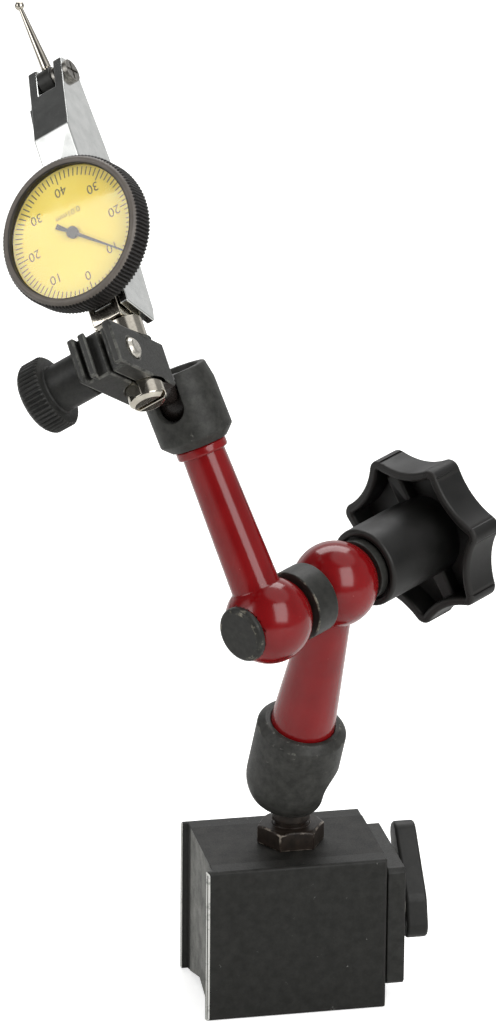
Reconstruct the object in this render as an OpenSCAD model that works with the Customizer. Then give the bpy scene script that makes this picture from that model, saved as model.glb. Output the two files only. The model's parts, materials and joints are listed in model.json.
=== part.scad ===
// Small switchable magnetic stand with a centrally locked two-section arm,
// holding a lever-type dial test indicator by its round stem. Millimetres.
// X runs along the base towards the switch lever, Y runs to the back, Z is up.
// The origin is the middle of the foot plane.

/* [Base] */
// Length of the base along X
base_l = 40; // [34:0.5:60]
// Width of the base along Y
base_w = 30; // [27:0.5:45]
// Height of the base
base_h = 35; // [33:0.5:50]
// Thickness of each steel pole plate
pole_t = 4.5; // [3.5:0.25:5]
// Depth of the recess in the left end
core_recess = 1.5; // [0.5:0.25:3]
// Width of the lips either side of that recess
lip_w = 1.5; // [1:0.1:3]
// Half width of the foot's V groove
groove_half = 13; // [11:0.25:13.5]
// Slope of the foot's V groove from level, degrees
groove_slope = 16.5; // [8:0.5:20]
// Chamfer on the outer edges of the pole plates
pole_chamfer = 0.5; // [0.2:0.1:1]

/* [Magnet switch] */
// Height of the magnet's axis above the foot
rotor_z = 18.3; // [16:0.1:18.5]
// Diameter of the turning magnet
rotor_d = 16; // [12:0.5:17]
// Length of the turning magnet
rotor_len = 29; // [20:0.5:30]
// Diameter of the switch spindle
spindle_d = 6; // [5:0.25:7]
// Thickness of the switch end plate
plate_t = 4; // [3:0.25:5]
// Width of the switch end plate along Y
plate_w = 27; // [24:0.5:27]
// Height of the switch end plate
plate_h = 27.5; // [25:0.5:29]
// Stand-off of the end plate from the core block
plate_gap = 0.4; // [0.3:0.1:0.8]
// Diameter of the end plate's screws
plate_screw_d = 2.5; // [2:0.25:3]
// Reach of the switch lever above its spindle
lever_up = 18.2; // [14:0.1:26]
// Reach of the switch lever below its spindle
lever_down = 8.2; // [7.5:0.1:14]
// Stand-off of the lever from the end plate
lever_gap = 2.3; // [1.5:0.1:4]
// Width of the switch lever at its hub
lever_w = 10; // [9:0.5:12]
// Width of the switch lever at its tips
lever_tip_w = 6.5; // [5:0.5:9]
// Thickness of the switch lever
lever_t = 4.8; // [4:0.2:6]
// Lean of the lever from upright, degrees
lever_lean = 37.5; // [0:0.5:45]

/* [Ball stud] */
// Place of the stud along the base, from the middle
stud_x = 1.6; // [-4:0.1:4]
// Diameter of the stud's thread
stud_d = 8; // [6:0.5:8.5]
// Depth of the thread in the core block
stud_depth = 7.2; // [5:0.1:8]
// Height of the lower ball's centre above the top of the base
ball_rise = 15.6; // [15:0.1:20]
// Diameter of the lower ball
ball_d = 14; // [13.5:0.25:14.5]
// Diameter of the neck below the ball
neck_d = 6.6; // [5:0.2:7]
// Size across the flats of the jam nut
nut_af = 13; // [12:0.5:16]
// Height of the jam nut
nut_h = 4.3; // [3:0.1:5]

/* [Lower arm] */
// Distance from the ball centre to the elbow axis
lower_len = 53; // [48:0.5:80]
// Outside diameter of the lower cup
cup_d = 19.6; // [19:0.1:22]
// Height of the cup's rim above the ball centre
cup_rise = 14.8; // [11:0.25:15]
// How far the cup reaches below the ball centre
cup_drop = 6; // [5:0.25:6]
// Arm diameter at the cup
lower_d_cup = 14; // [12:0.25:14.5]
// Arm diameter at the hub
lower_d_hub = 9; // [8.5:0.25:13]
// Width of the notch in the lower cup
cup_notch_w = 9; // [8.5:0.25:10]
// Height of the notch's top above the ball centre
cup_notch_rise = 4.6; // [4.3:0.1:6]
// Direction of the lower cup's notch about the arm, degrees
cup_notch_turn = 26; // [0:1:359]

/* [Elbow] */
// Diameter of the two round hubs
hub_d = 18.5; // [18:0.2:22]
// Width of each hub along the elbow axis
hub_w = 15; // [15:0.25:17]
// Length of the spacer between the hubs
spacer_len = 6; // [3:0.25:8]
// Diameter of the spacer
spacer_d = 15.5; // [12:0.25:17]
// Diameter of the bolt's head
bolt_head_d = 12; // [10:0.25:13]
// Height of the bolt's head
bolt_head_h = 1.8; // [1:0.25:4]
// Bolt diameter at the head end
bolt_d1 = 9; // [8.5:0.25:9.5]
// Bolt diameter between the hubs
bolt_d2 = 6.5; // [6:0.25:7]
// Bolt diameter in the knob
bolt_d3 = 4.5; // [4:0.25:5]
// Diameter of the push rods
rod_d = 4; // [3:0.25:4.5]

/* [Star knob] */
// Number of lobes on the knob
lobes = 7; // [5:1:9]
// Distance of the lobe centres from the axis
lobe_at = 16.7; // [16:0.1:18]
// Radius of each lobe
lobe_r = 2.4; // [2.3:0.1:3]
// Distance of the valleys between lobes from the axis
valley_at = 16; // [15.5:0.1:16.4]
// Wall of the hollow knob
knob_wall = 2; // [1.2:0.1:2.1]
// Height of the knob's rim
knob_h = 8.2; // [7:0.25:14]
// Thickness of the knob's crown
crown_t = 2.5; // [1.5:0.25:4]
// Outside diameter of the knob's sleeve
sleeve_d = 17.5; // [15:0.25:20]
// How far the sleeve stands out of the rim
sleeve_out = 15.7; // [12:0.25:20]
// Number of ribs inside the knob
ribs = 2; // [2:1:4]
// Thickness of the knob's ribs
rib_t = 3.8; // [2:0.1:5]
// Depth of the ribs below the knob's rim
rib_deep = 2.8; // [1:0.1:5]
// Turn of the ribs about the knob's axis, degrees
rib_turn = 42; // [0:1:90]
// Diameter of the thrust collar
collar_d = 13.5; // [10:0.25:15]
// Length of the thrust collar
collar_len = 2.6; // [1.5:0.1:4]
// Turn of the star about its axis, degrees
star_turn = 14.5; // [0:0.1:60]

/* [Upper arm] */
// Distance from the elbow axis to the upper ball centre
upper_len = 49.8; // [44:0.2:80]
// Arm diameter at the hub
upper_d_hub = 10.8; // [9:0.1:12]
// Arm diameter at the cup
upper_d_cup = 9.2; // [8.2:0.1:9.6]
// Diameter of the bead under the cup
bead_d = 11; // [10:0.1:13]
// Outside diameter of the upper cup
upper_cup_d = 16; // [15.6:0.1:18]
// How far the upper cup reaches below the ball centre
upper_cup_drop = 10; // [9.6:0.1:13]
// How far the upper cup reaches above the ball centre
upper_cup_rise = 6.3; // [5.6:0.1:6.6]
// Diameter of the upper ball
upper_ball_d = 11.5; // [11:0.1:11.8]

/* [Clamp] */
// Diameter of the clamp's stem
jaw_stem_d = 5.6; // [4.6:0.1:6]
// Distance from the upper ball to the rear of the jaws
jaw_from = 17.1; // [16:0.1:22]
// Length of the jaws
jaw_len = 22; // [21:0.5:26]
// Height of the jaws along the indicator's stem
jaw_h = 10; // [8:0.5:14]
// Outer face of the fixed jaw from the ball's axis
fixed_out = 3.4; // [3.2:0.1:6]
// Parting plane of the jaws from the ball's axis
part_x = 3.1; // [2.8:0.1:3.4]
// Outer face of the moving jaw from the ball's axis
moving_out = 7.2; // [6.9:0.1:9]
// Gap between the closed jaws
jaw_gap = 0.6; // [0.3:0.1:1]
// Distance from the rear of the jaws to the stem bore
bore_from = 6.5; // [6:0.1:7]
// Distance from the rear of the jaws to the thumb screw
screw_from = 14.6; // [14:0.1:16]
// Diameter of the thumb screw's shank
thumb_d = 4.8; // [4:0.1:5]
// Diameter of the thumb screw's head
thumb_head_d = 15.7; // [13:0.1:18]
// Height of the thumb screw's head
thumb_head_h = 5.5; // [4:0.25:8]
// Diameter of the thumb screw's collar
thumb_collar_d = 10.1; // [8:0.25:10.75]
// Length of the thumb screw's collar
thumb_collar_len = 8.2; // [6:0.1:14]
// Number of ridges on the thumb screw
thumb_ridges = 46; // [24:1:60]

/* [Indicator] */
// Diameter of the indicator's stem
stem_d = 8; // [7.5:0.1:8]
// How far the stem reaches below the ball's axis
stem_drop = 9; // [7.5:0.1:12]
// Height of the stem's top above the ball's axis
stem_top = 10; // [9.5:0.1:12]
// Height of the dial centre above the stem's top
dial_up = 19.3; // [19:0.1:24]
// Distance of the bezel's back from the stem axis
bezel_z = 5.6; // [5.2:0.1:6.5]
// Diameter of the bezel
bezel_d = 32.8; // [32:0.1:34]
// Height of the bezel
bezel_h = 6; // [5:0.1:7]
// Distance of the stylus pivot behind the stem axis
pivot_back = 4.7; // [4:0.1:5]
// Lean of the stylus toward the dial side, degrees
stylus_lean = 11.5; // [0:0.5:30]
// Height of the stylus pivot above the dial centre
pivot_up = 41.5; // [38:0.25:48]
// Distance from the stylus pivot to its ball
stylus_len = 18.2; // [12:0.25:24]
// Diameter of the stylus ball
tip_d = 2; // [1:0.1:3]
// Width of the indicator's body
body_w = 8.8; // [8.6:0.1:11]
// Step in from the body's side to the head's side
head_inset = 0.1; // [0.1:0.05:0.3]
// Distance of the body's deepest back from the stem axis
back_deep = 10.6; // [9.5:0.1:12]
// Height of the neck below the stylus pivot
neck_drop = 15.2; // [14:0.1:16]
// Width of the fork that holds the stylus barrel
fork_gap = 4.2; // [4.1:0.1:4.6]
// How far the side cover stands out of the body
cover_proud = 0.5; // [0.2:0.1:0.8]
// Rest angle of the pointer about the dial, degrees
pointer_rest = -44.5; // [-180:0.5:180]

/* [Pose] */
// Direction in which the lower arm leans, degrees
arm_yaw = -72.5; // [-180:0.5:180]
// Lean of the lower arm from upright, degrees
arm_tilt = 19.5; // [0:0.5:22]
// Turn of the lower arm about itself, degrees
arm_roll = 19.5; // [-180:0.5:180]
// Fold of the elbow, degrees
elbow_fold = -42.3; // [-80:0.1:0]
// Direction of the upper cup's notch about the arm, degrees
notch_turn = -67; // [-90:1:0]
// Lean of the clamp's stem from the upper arm, degrees
stem_lean = 61; // [0:1:75]
// Turn of the clamp about its own stem, degrees
clamp_spin = 100.5; // [60:0.5:140]

/* [Clearances] */
// Radial clearance of turning fits
run_fit = 0.05; // [0.02:0.01:0.1]
// Gap between round faces that move past each other
free_gap = 0.2; // [0.1:0.05:0.3]

/* [Hidden] */
$fn = 64;

steel_black = "#333330";
steel_grey = "#8c8c88";
nickel = "#c9c9c4";
brass = "#b8974e";
red_enamel = "#8b1518";
black_plastic = "#2c2c2a";
dial_yellow = "#f7de5f";

through = 1;
core_w = base_w - 2 * pole_t;
groove_h = groove_half * tan(groove_slope);
rotor_bore_d = rotor_d + 1;
rotor_end_wall = 4;
bore_start = -base_l / 2 + core_recess + rotor_end_wall;
rotor_start = bore_start + free_gap;
rotor_pin_d = spindle_d - 1;
spindle_in = 20;
spindle_start = rotor_start + rotor_len - spindle_in;
bush_start = rotor_start + rotor_len + free_gap;
plate_x = base_l / 2 + plate_gap;
plate_z = rotor_z;
plate_screw_y = plate_w / 2 - 5;
plate_screw_z = plate_h / 2 - 3.5;
plate_screw_len = 9;
lever_x = plate_x + plate_t + lever_gap;
lever_boss_d = 9;
lever_screw_d = 3;
lever_screw_len = 8;
lever_screw_head = 1.6;
lever_web = 1.2;
spindle_end = lever_x + lever_t - lever_screw_head - 0.2 - lever_web;

ball_z = base_h + ball_rise;
nut_top = base_h + nut_h;
neck_low_d = stud_d + 0.4;
socket_r = ball_d / 2 + free_gap;
seat_d = 9;
seat_top = 11;
seat_low = 5.6;
lower_start = ball_d / 2 + 0.9;
cup_lip = 4.1;
cup_mouth_r = 7.35;

hub_half = hub_w / 2;
hub_step = hub_w + spacer_len;
cone_half = rod_d / 2 + 0.2;
hub1_y = -hub_step;
rod_gap = 0.2;
rod_tip_d = 0.8;
rod_tip_len = 1.2;
lower_rod_top = lower_len - (bolt_d2 + bolt_d3) / 4 - rod_gap;
upper_rod_low = (bolt_d1 + bolt_d2) / 4 + rod_gap;

collar_y = hub_half;
knob_seat = 1;
knob_y = hub_half + collar_len - knob_seat + 0.1;
knob_k = cos(180 / lobes);
scallop_r = (lobe_at * lobe_at + valley_at * valley_at - 2 * lobe_at * valley_at * knob_k
    - lobe_r * lobe_r) / (2 * lobe_r + 2 * lobe_at * knob_k - 2 * valley_at);
scallop_at = valley_at + scallop_r;
knob_rim_y = knob_y + sleeve_out;
knob_top_y = knob_rim_y + knob_h;
insert_d = 10;
insert_len = 14;
insert_y = knob_y + knob_seat;
sleeve_bore_d = collar_d + 0.6;

upper_ball_r = upper_ball_d / 2;
upper_socket_r = upper_ball_r + free_gap;
upper_seat_d = 6.4;
upper_seat_len = 4;
bead_z = upper_len - upper_cup_drop - 2;
upper_lip = 3.2;
upper_arm_end = upper_len - upper_ball_r - 1.2;
ball_pin_d = 3.6;
stem_boss_d = 9;
stem_boss_len = 3.5;

jaw_to = jaw_from + jaw_len;
bore_z = jaw_from + bore_from;
screw_z = jaw_from + screw_from;
thumb_x = -fixed_out - 0.3;
thumb_head_x = thumb_x - thumb_collar_len;
peen_h = 0.9;
dovetail_mouth = 4.2;
dovetail_depth = 2.4;
dovetail_flare = 0.8;

dial_y = stem_top + dial_up;
pivot_y = dial_y + pivot_up;
body_low = stem_top + 5.2;
pivot_z = -pivot_back;
body_back = -7.2;
body_front_z = bezel_z - 1.6;
head_w = body_w - 2 * head_inset;
nose_y = pivot_y + 3.6;
nose_back = pivot_z - 4.1;
nose_front = pivot_z + 1.3;
deep_y = dial_y + 21.7;
neck_y = pivot_y - neck_drop;
cheek_t = 1.8;
cheek_front_y = stem_top + 2.4;
cheek_back_y = stem_top + 0.2;
cheek_back = -5.8;
fork_deep = 9;
fork_low = pivot_y - 3.6;
cavity_w = 6.4;
cavity_low = dial_y - 7;
cavity_high = pivot_y - 11;
cavity_front = bezel_z - 4;
wall_back = 1.2;
cover_t = 1;
cover_rim = 0.8;
cover_end = 2.6;
cover_high = pivot_y - 6;
cover_screw_d = 1.2;
cover_screw_len = 3.2;
cover_head_d = 2.4;
cover_head_h = 0.6;
barrel_d = 6;
barrel_axle_d = 2.6;
stylus_root_d = 1.6;
stylus_from = 1.1;
bezel_wall = 1.6;
bezel_lip_t = 0.6;
bezel_lip = 0.5;
spring_w = 1;
dial_d = bezel_d - 2 * bezel_wall - 0.2;
dial_z = bezel_z + 2.8;
dial_t = 0.5;
crystal_t = 0.8;
case_d = dial_d - 2 * spring_w - 0.4;
pointer_z = dial_z + dial_t + 0.3;
crystal_z = bezel_z + bezel_h - bezel_lip_t - 0.05 - crystal_t;
arbor_d = 1;
pinion_d = 1.7;
crown_z = -2.4;
crown_pinion_d = 2.4;
crown_d = 6.4;
crown_t_x = 0.8;
lever_plate_t = 0.6;
lever_plate_x = 0.2 - fork_gap / 2;
mesh_gap = 0.25;
sector_run = norm([pivot_up, crown_z - pivot_z]);
sector_r = sector_run - crown_pinion_d / 2 - mesh_gap;
sector_lean = atan2(crown_z - pivot_z, pivot_up);
pivot_head_d = 5.2;
pivot_head_h = 1;
pivot_d = 2.2;
tail_w = 4.2;
tail_h = 2;
tail_flare = 0.8;
clip_half = 4.6;
clip_x = cheek_t - body_w / 2 + 0.3;
tail_x = (clip_x + clip_half) / 2;
clip_screw_y = stem_top + 1.6;
clip_screw_d = 1.6;

// Placement frames: each one carries what is fixed to it

module lower_frame() {
    translate([stud_x, 0, ball_z])
        rotate([0, 0, arm_yaw])
            rotate([0, arm_tilt, 0])
                rotate([0, 0, arm_roll])
                    children();
}

module elbow_frame() {
    lower_frame()
        translate([0, 0, lower_len])
            children();
}

module upper_frame() {
    elbow_frame()
        translate([0, -hub_step, 0])
            rotate([0, elbow_fold, 0])
                children();
}

module clamp_frame() {
    upper_frame()
        translate([0, 0, upper_len])
            rotate([0, 0, notch_turn])
                rotate([0, stem_lean, 0])
                    rotate([0, 0, clamp_spin])
                        children();
}

module indicator_frame() {
    clamp_frame()
        translate([part_x, 0, bore_z])
            children();
}

module case_frame() {
    indicator_frame()
        mirror([1, 0, 0])
            children();
}

// Cylinders laid along X and along Y, from one place to another

module bar_x(d, from, to) {
    translate([from, 0, 0])
        rotate([0, 90, 0])
            cylinder(d = d, h = to - from);
}

module bar_y(d, from, to) {
    translate([0, from, 0])
        rotate([-90, 0, 0])
            cylinder(d = d, h = to - from);
}

module cone_y(d1, d2, from, to) {
    translate([0, from, 0])
        rotate([-90, 0, 0])
            cylinder(d1 = d1, d2 = d2, h = to - from);
}

// Base: two steel pole plates either side of a core block

module pole_plate() {
    c = pole_chamfer;
    intersection() {
        translate([-base_l / 2, 0, 0])
            rotate([90, 0, 90])
                linear_extrude(base_l)
                    polygon([[0, 0], [pole_t - c, 0], [pole_t, c], [pole_t, base_h - c],
                        [pole_t - c, base_h], [0, base_h]]);
        linear_extrude(base_h)
            polygon([[-base_l / 2, 0], [base_l / 2, 0], [base_l / 2, pole_t - c],
                [base_l / 2 - c, pole_t], [-base_l / 2 + c, pole_t], [-base_l / 2, pole_t - c]]);
    }
}

module groove_cut() {
    translate([-base_l / 2 - through, 0, 0])
        rotate([90, 0, 90])
            linear_extrude(base_l + 2 * through)
                polygon([[-groove_half - through, -through * tan(groove_slope)], [0, groove_h],
                    [groove_half + through, -through * tan(groove_slope)]]);
}

module back_pole() {
    difference() {
        translate([0, core_w / 2, 0])
            pole_plate();
        groove_cut();
        translate([-base_l / 2 - through, 0, -through])
            cube([core_recess + through, base_w / 2 - lip_w, base_h + 2 * through]);
    }
}

module front_pole() {
    color(steel_black)
        mirror([0, 1, 0])
            back_pole();
}

module rear_pole() {
    color(steel_black)
        back_pole();
}

module plate_screw_places() {
    for (sy = [-1, 1])
        for (sz = [-1, 1])
            translate([0, sy * plate_screw_y, plate_z + sz * plate_screw_z])
                children();
}

module core_block() {
    core_l = base_l - core_recess;
    color(steel_grey)
        difference() {
            translate([-base_l / 2 + core_recess, 0, 0])
                translate([0, -core_w / 2, 0])
                    cube([core_l, core_w, base_h]);
            groove_cut();
            translate([0, 0, rotor_z])
                bar_x(rotor_bore_d, bore_start, base_l / 2 + through);
            translate([stud_x, 0, base_h - stud_depth])
                cylinder(d = stud_d + 2 * run_fit, h = stud_depth + through);
            plate_screw_places()
                bar_x(plate_screw_d + 2 * run_fit, plate_x + plate_t - plate_screw_len, base_l / 2 + through);
        }
}

module magnet_rotor() {
    color("#4a4a4c")
        translate([0, 0, rotor_z])
            difference() {
                bar_x(rotor_d, rotor_start, rotor_start + rotor_len);
                bar_x(rotor_pin_d + 2 * run_fit, spindle_start, rotor_start + rotor_len + through);
            }
}

module rotor_bush() {
    color(brass)
        translate([0, 0, rotor_z])
            difference() {
                bar_x(rotor_bore_d - 2 * run_fit, bush_start, plate_x);
                bar_x(spindle_d + 2 * run_fit, bush_start - through, plate_x + through);
            }
}

module switch_plate() {
    c = 1;
    y = plate_w / 2;
    z = plate_h / 2;
    color(steel_black)
        difference() {
            translate([plate_x, 0, plate_z])
                rotate([90, 0, 90])
                    linear_extrude(plate_t)
                        polygon([[-y + c, -z], [y - c, -z], [y, -z + c], [y, z - c], [y - c, z],
                            [-y + c, z], [-y, z - c], [-y, -z + c]]);
            translate([0, 0, rotor_z])
                bar_x(spindle_d + 2 * run_fit, plate_x - through, plate_x + plate_t + through);
            plate_screw_places()
                union() {
                    bar_x(plate_screw_d + 2 * run_fit, plate_x - through, plate_x + plate_t);
                    translate([plate_x + plate_t - plate_screw_d / 2, 0, 0])
                        rotate([0, 90, 0])
                            cylinder(d1 = plate_screw_d + 2 * run_fit, d2 = 2 * plate_screw_d + 2 * run_fit,
                                h = plate_screw_d / 2);
                }
        }
}

module plate_screws() {
    head_h = plate_screw_d / 2;
    slot_w = 0.6;
    color(steel_grey)
        plate_screw_places()
            difference() {
                union() {
                    bar_x(plate_screw_d, plate_x + plate_t - plate_screw_len, plate_x + plate_t - head_h);
                    translate([plate_x + plate_t - head_h, 0, 0])
                        rotate([0, 90, 0])
                            cylinder(d1 = plate_screw_d, d2 = 2 * plate_screw_d, h = head_h);
                }
                translate([plate_x + plate_t, 0, 0])
                    cube([2 * slot_w, slot_w, 2 * plate_screw_d + through], center = true);
            }
}

module switch_spindle() {
    color(steel_grey)
        translate([0, 0, rotor_z])
            difference() {
                union() {
                    bar_x(rotor_pin_d, spindle_start, bush_start);
                    bar_x(spindle_d, bush_start, spindle_end);
                    bar_x(lever_boss_d, plate_x + plate_t + 0.1, lever_x);
                }
                bar_x(lever_screw_d - 0.4, spindle_end - lever_screw_len, spindle_end + through);
            }
}

module lever_half(reach) {
    tip_at = reach - lever_tip_w / 2;
    lean = asin((lever_w - lever_tip_w) / 2 / tip_at);
    translate([0, tip_at])
        circle(d = lever_tip_w);
    polygon([[-lever_w / 2 * cos(lean), 0], [lever_w / 2 * cos(lean), 0],
        [lever_w / 2 * cos(lean), lever_w / 2 * sin(lean)],
        [lever_tip_w / 2 * cos(lean), tip_at + lever_tip_w / 2 * sin(lean)],
        [-lever_tip_w / 2 * cos(lean), tip_at + lever_tip_w / 2 * sin(lean)],
        [-lever_w / 2 * cos(lean), lever_w / 2 * sin(lean)]]);
}

module lever_outline() {
    circle(d = lever_w);
    lever_half(lever_up);
    mirror([0, 1])
        lever_half(lever_down);
}

module switch_lever() {
    color(steel_black)
        difference() {
            translate([lever_x, 0, rotor_z])
                rotate([-lever_lean, 0, 0])
                    rotate([90, 0, 90])
                        linear_extrude(lever_t)
                            lever_outline();
            translate([0, 0, rotor_z]) {
                bar_x(spindle_d + 2 * run_fit, lever_x - through, spindle_end);
                bar_x(lever_screw_d + 0.3, spindle_end - through, lever_x + lever_t + through);
                bar_x(2 * lever_screw_d + 0.3, spindle_end + lever_web, lever_x + lever_t + through);
            }
        }
}

module lever_screw() {
    head_x = spindle_end + lever_web;
    slot_w = 0.8;
    color(steel_grey)
        translate([0, 0, rotor_z])
            difference() {
                union() {
                    bar_x(lever_screw_d - 0.5, spindle_end - lever_screw_len + 1, head_x);
                    bar_x(2 * lever_screw_d, head_x, head_x + lever_screw_head);
                }
                translate([head_x + lever_screw_head, 0, 0])
                    cube([lever_screw_head, slot_w, 2 * lever_screw_d + through], center = true);
            }
}

module jam_nut() {
    corner_d = nut_af / cos(30);
    chamfer_h = 0.7;
    color("#3a332e")
        difference() {
            intersection() {
                translate([stud_x, 0, base_h])
                    cylinder(d = corner_d, h = nut_h, $fn = 6);
                translate([stud_x, 0, base_h])
                    union() {
                        cylinder(d = corner_d + 1, h = nut_h - chamfer_h);
                        translate([0, 0, nut_h - chamfer_h])
                            cylinder(d1 = corner_d + 0.6, d2 = nut_af - 0.4, h = chamfer_h);
                    }
            }
            translate([stud_x, 0, base_h - through])
                cylinder(d = stud_d + 2 * run_fit, h = nut_h + 2 * through);
        }
}

module ball_stud() {
    thread_low = base_h - stud_depth + 0.3;
    thread_top = nut_top + 0.1;
    undercut_h = 0.9;
    neck_low = thread_top + undercut_h;
    flare_top = ball_z - ball_d / 2;
    flare_low = flare_top - 1.6;
    color(steel_grey)
        translate([stud_x, 0, 0]) {
            translate([0, 0, thread_low])
                cylinder(d = stud_d, h = thread_top - thread_low);
            translate([0, 0, thread_top])
                cylinder(d = stud_d - 1, h = undercut_h);
            translate([0, 0, neck_low])
                cylinder(d = neck_low_d, h = flare_low - neck_low);
            translate([0, 0, flare_low])
                cylinder(d1 = neck_low_d, d2 = neck_d, h = flare_top - flare_low);
            translate([0, 0, flare_top])
                cylinder(d = neck_d, h = ball_z - flare_top);
            translate([0, 0, ball_z])
                sphere(d = ball_d);
        }
}

// Lower arm: cup round the ball, seat and push rod inside, red arm with its hub

module lower_seat() {
    color(brass)
        lower_frame()
            difference() {
                translate([0, 0, seat_low])
                    cylinder(d = seat_d - 2 * run_fit, h = seat_top - seat_low);
                sphere(r = socket_r);
            }
}

module lower_cup() {
    round_r = 1.6;
    r = cup_d / 2;
    bore_r = lower_d_cup / 2 + run_fit;
    notch_z = cup_notch_rise - cup_notch_w / 2;
    color(steel_black)
        lower_frame()
            difference() {
                union() {
                    intersection() {
                        sphere(r = r);
                        translate([0, 0, -cup_drop])
                            cylinder(r = r + through, h = cup_drop);
                    }
                    cylinder(r = r, h = cup_rise - round_r);
                    translate([0, 0, cup_rise - round_r])
                        cylinder(r1 = r, r2 = r - round_r, h = round_r);
                }
                sphere(r = socket_r);
                cylinder(r = socket_r, h = lower_start);
                translate([0, 0, lower_start - 0.4])
                    cylinder(r = bore_r, h = cup_rise);
                translate([0, 0, -cup_drop - through])
                    cylinder(r1 = cup_mouth_r + 0.8, r2 = sqrt(socket_r * socket_r - cup_lip * cup_lip),
                        h = cup_drop + through - cup_lip);
                rotate([0, 0, cup_notch_turn])
                    translate([0, 0, notch_z]) {
                        rotate([0, 90, 0])
                            cylinder(d = cup_notch_w, h = r + through);
                        translate([0, -cup_notch_w / 2, -cup_drop - through])
                            cube([r + through, cup_notch_w, cup_drop + through]);
                    }
            }
}

module hub_block() {
    intersection() {
        sphere(d = hub_d);
        translate([-hub_d, -hub_half, -hub_d])
            cube([2 * hub_d, hub_w, 2 * hub_d]);
    }
}

module lower_arm() {
    taper_from = cup_rise;
    color(red_enamel)
        lower_frame()
            difference() {
                union() {
                    translate([0, 0, lower_start])
                        cylinder(d = lower_d_cup, h = taper_from - lower_start);
                    translate([0, 0, taper_from])
                        cylinder(d1 = lower_d_cup, d2 = lower_d_hub, h = lower_len - taper_from);
                    translate([0, 0, lower_len])
                        hub_block();
                }
                translate([0, 0, lower_start - through])
                    cylinder(d = seat_d, h = seat_top + 1 - lower_start + through);
                cylinder(d = rod_d + 2 * run_fit, h = lower_len);
                translate([0, 0, lower_len]) {
                    bar_y(bolt_d2 + 2 * run_fit, -hub_half - through, cone_half);
                    bar_y(bolt_d3 + 2 * run_fit, 0, hub_half + through);
                }
            }
}

module lower_push_rod() {
    rod_from = seat_top + 0.1;
    color(steel_grey)
        lower_frame() {
            translate([0, 0, rod_from])
                cylinder(d = rod_d, h = lower_rod_top - rod_tip_len - rod_from);
            translate([0, 0, lower_rod_top - rod_tip_len])
                cylinder(d1 = rod_d, d2 = rod_tip_d, h = rod_tip_len);
        }
}

// Elbow: the bolt's two cones lie under the ends of the push rods

module clamp_bolt() {
    head_from = hub1_y - hub_half - bolt_head_h;
    edge = 0.7;
    color(steel_black)
        elbow_frame() {
            cone_y(bolt_head_d - 2 * edge, bolt_head_d, head_from, head_from + edge);
            bar_y(bolt_head_d, head_from + edge, hub1_y - hub_half);
            bar_y(bolt_d1, hub1_y - hub_half, hub1_y - cone_half);
            cone_y(bolt_d1, bolt_d2, hub1_y - cone_half, hub1_y + cone_half);
            bar_y(bolt_d2, hub1_y + cone_half, -cone_half);
            cone_y(bolt_d2, bolt_d3, -cone_half, cone_half);
            bar_y(bolt_d3, cone_half, insert_y + insert_len - 0.5);
        }
}

module spacer_ring() {
    color(steel_black)
        elbow_frame()
            difference() {
                bar_y(spacer_d, -hub_half - spacer_len, -hub_half);
                bar_y(bolt_d2 + 2 * run_fit, -hub_half - spacer_len - through, -hub_half + through);
            }
}

module thrust_collar() {
    edge = 0.6;
    color(steel_black)
        elbow_frame()
            difference() {
                union() {
                    bar_y(collar_d, collar_y, collar_y + collar_len - edge);
                    cone_y(collar_d, collar_d - 2 * edge, collar_y + collar_len - edge, collar_y + collar_len);
                }
                bar_y(bolt_d3 + 2 * run_fit, collar_y - through, collar_y + collar_len + through);
            }
}

function touch_radius(lr) =
    let (dx = scallop_at * knob_k - lobe_at,
        dy = scallop_at * sin(180 / lobes),
        n = norm([dx, dy]))
    norm([lobe_at + lr * dx / n, lr * dy / n]);

module star_outline(inset) {
    lr = lobe_r - inset;
    rotate(star_turn)
        difference() {
            union() {
                circle(r = touch_radius(lr) + 0.1);
                for (i = [0 : lobes - 1])
                    rotate(i * 360 / lobes)
                        translate([lobe_at, 0])
                            circle(r = lr);
            }
            for (i = [0 : lobes - 1])
                rotate((i + 0.5) * 360 / lobes)
                    translate([scallop_at, 0])
                        circle(r = scallop_r + inset);
        }
}

module along_elbow(from) {
    translate([0, from, 0])
        rotate([-90, 0, 0])
            children();
}

module star_knob() {
    rib_from = sleeve_d / 2 - through;
    rib_to = valley_at - knob_wall / 2;
    color(black_plastic)
        elbow_frame()
            difference() {
                union() {
                    difference() {
                        along_elbow(knob_rim_y)
                            linear_extrude(knob_h)
                                star_outline(0);
                        along_elbow(knob_rim_y - through)
                            linear_extrude(knob_h - crown_t + through)
                                star_outline(knob_wall);
                    }
                    bar_y(sleeve_d, knob_y, knob_top_y);
                    along_elbow(knob_rim_y + rib_deep)
                        linear_extrude(knob_h - rib_deep)
                            for (i = [0 : ribs - 1])
                                rotate(rib_turn + i * 360 / ribs)
                                    translate([rib_from, -rib_t / 2])
                                        square([rib_to - rib_from, rib_t]);
                }
                bar_y(sleeve_bore_d, knob_y - through, insert_y);
                bar_y(insert_d + 2 * run_fit, insert_y - through, insert_y + insert_len);
            }
}

module knob_insert() {
    color(brass)
        elbow_frame()
            difference() {
                bar_y(insert_d, insert_y, insert_y + insert_len);
                bar_y(bolt_d3 + 2 * run_fit, insert_y - through, insert_y + insert_len - 0.3);
            }
}

// Upper arm: hub, tapered arm with a bead, cup with a notch, seat and push rod

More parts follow.
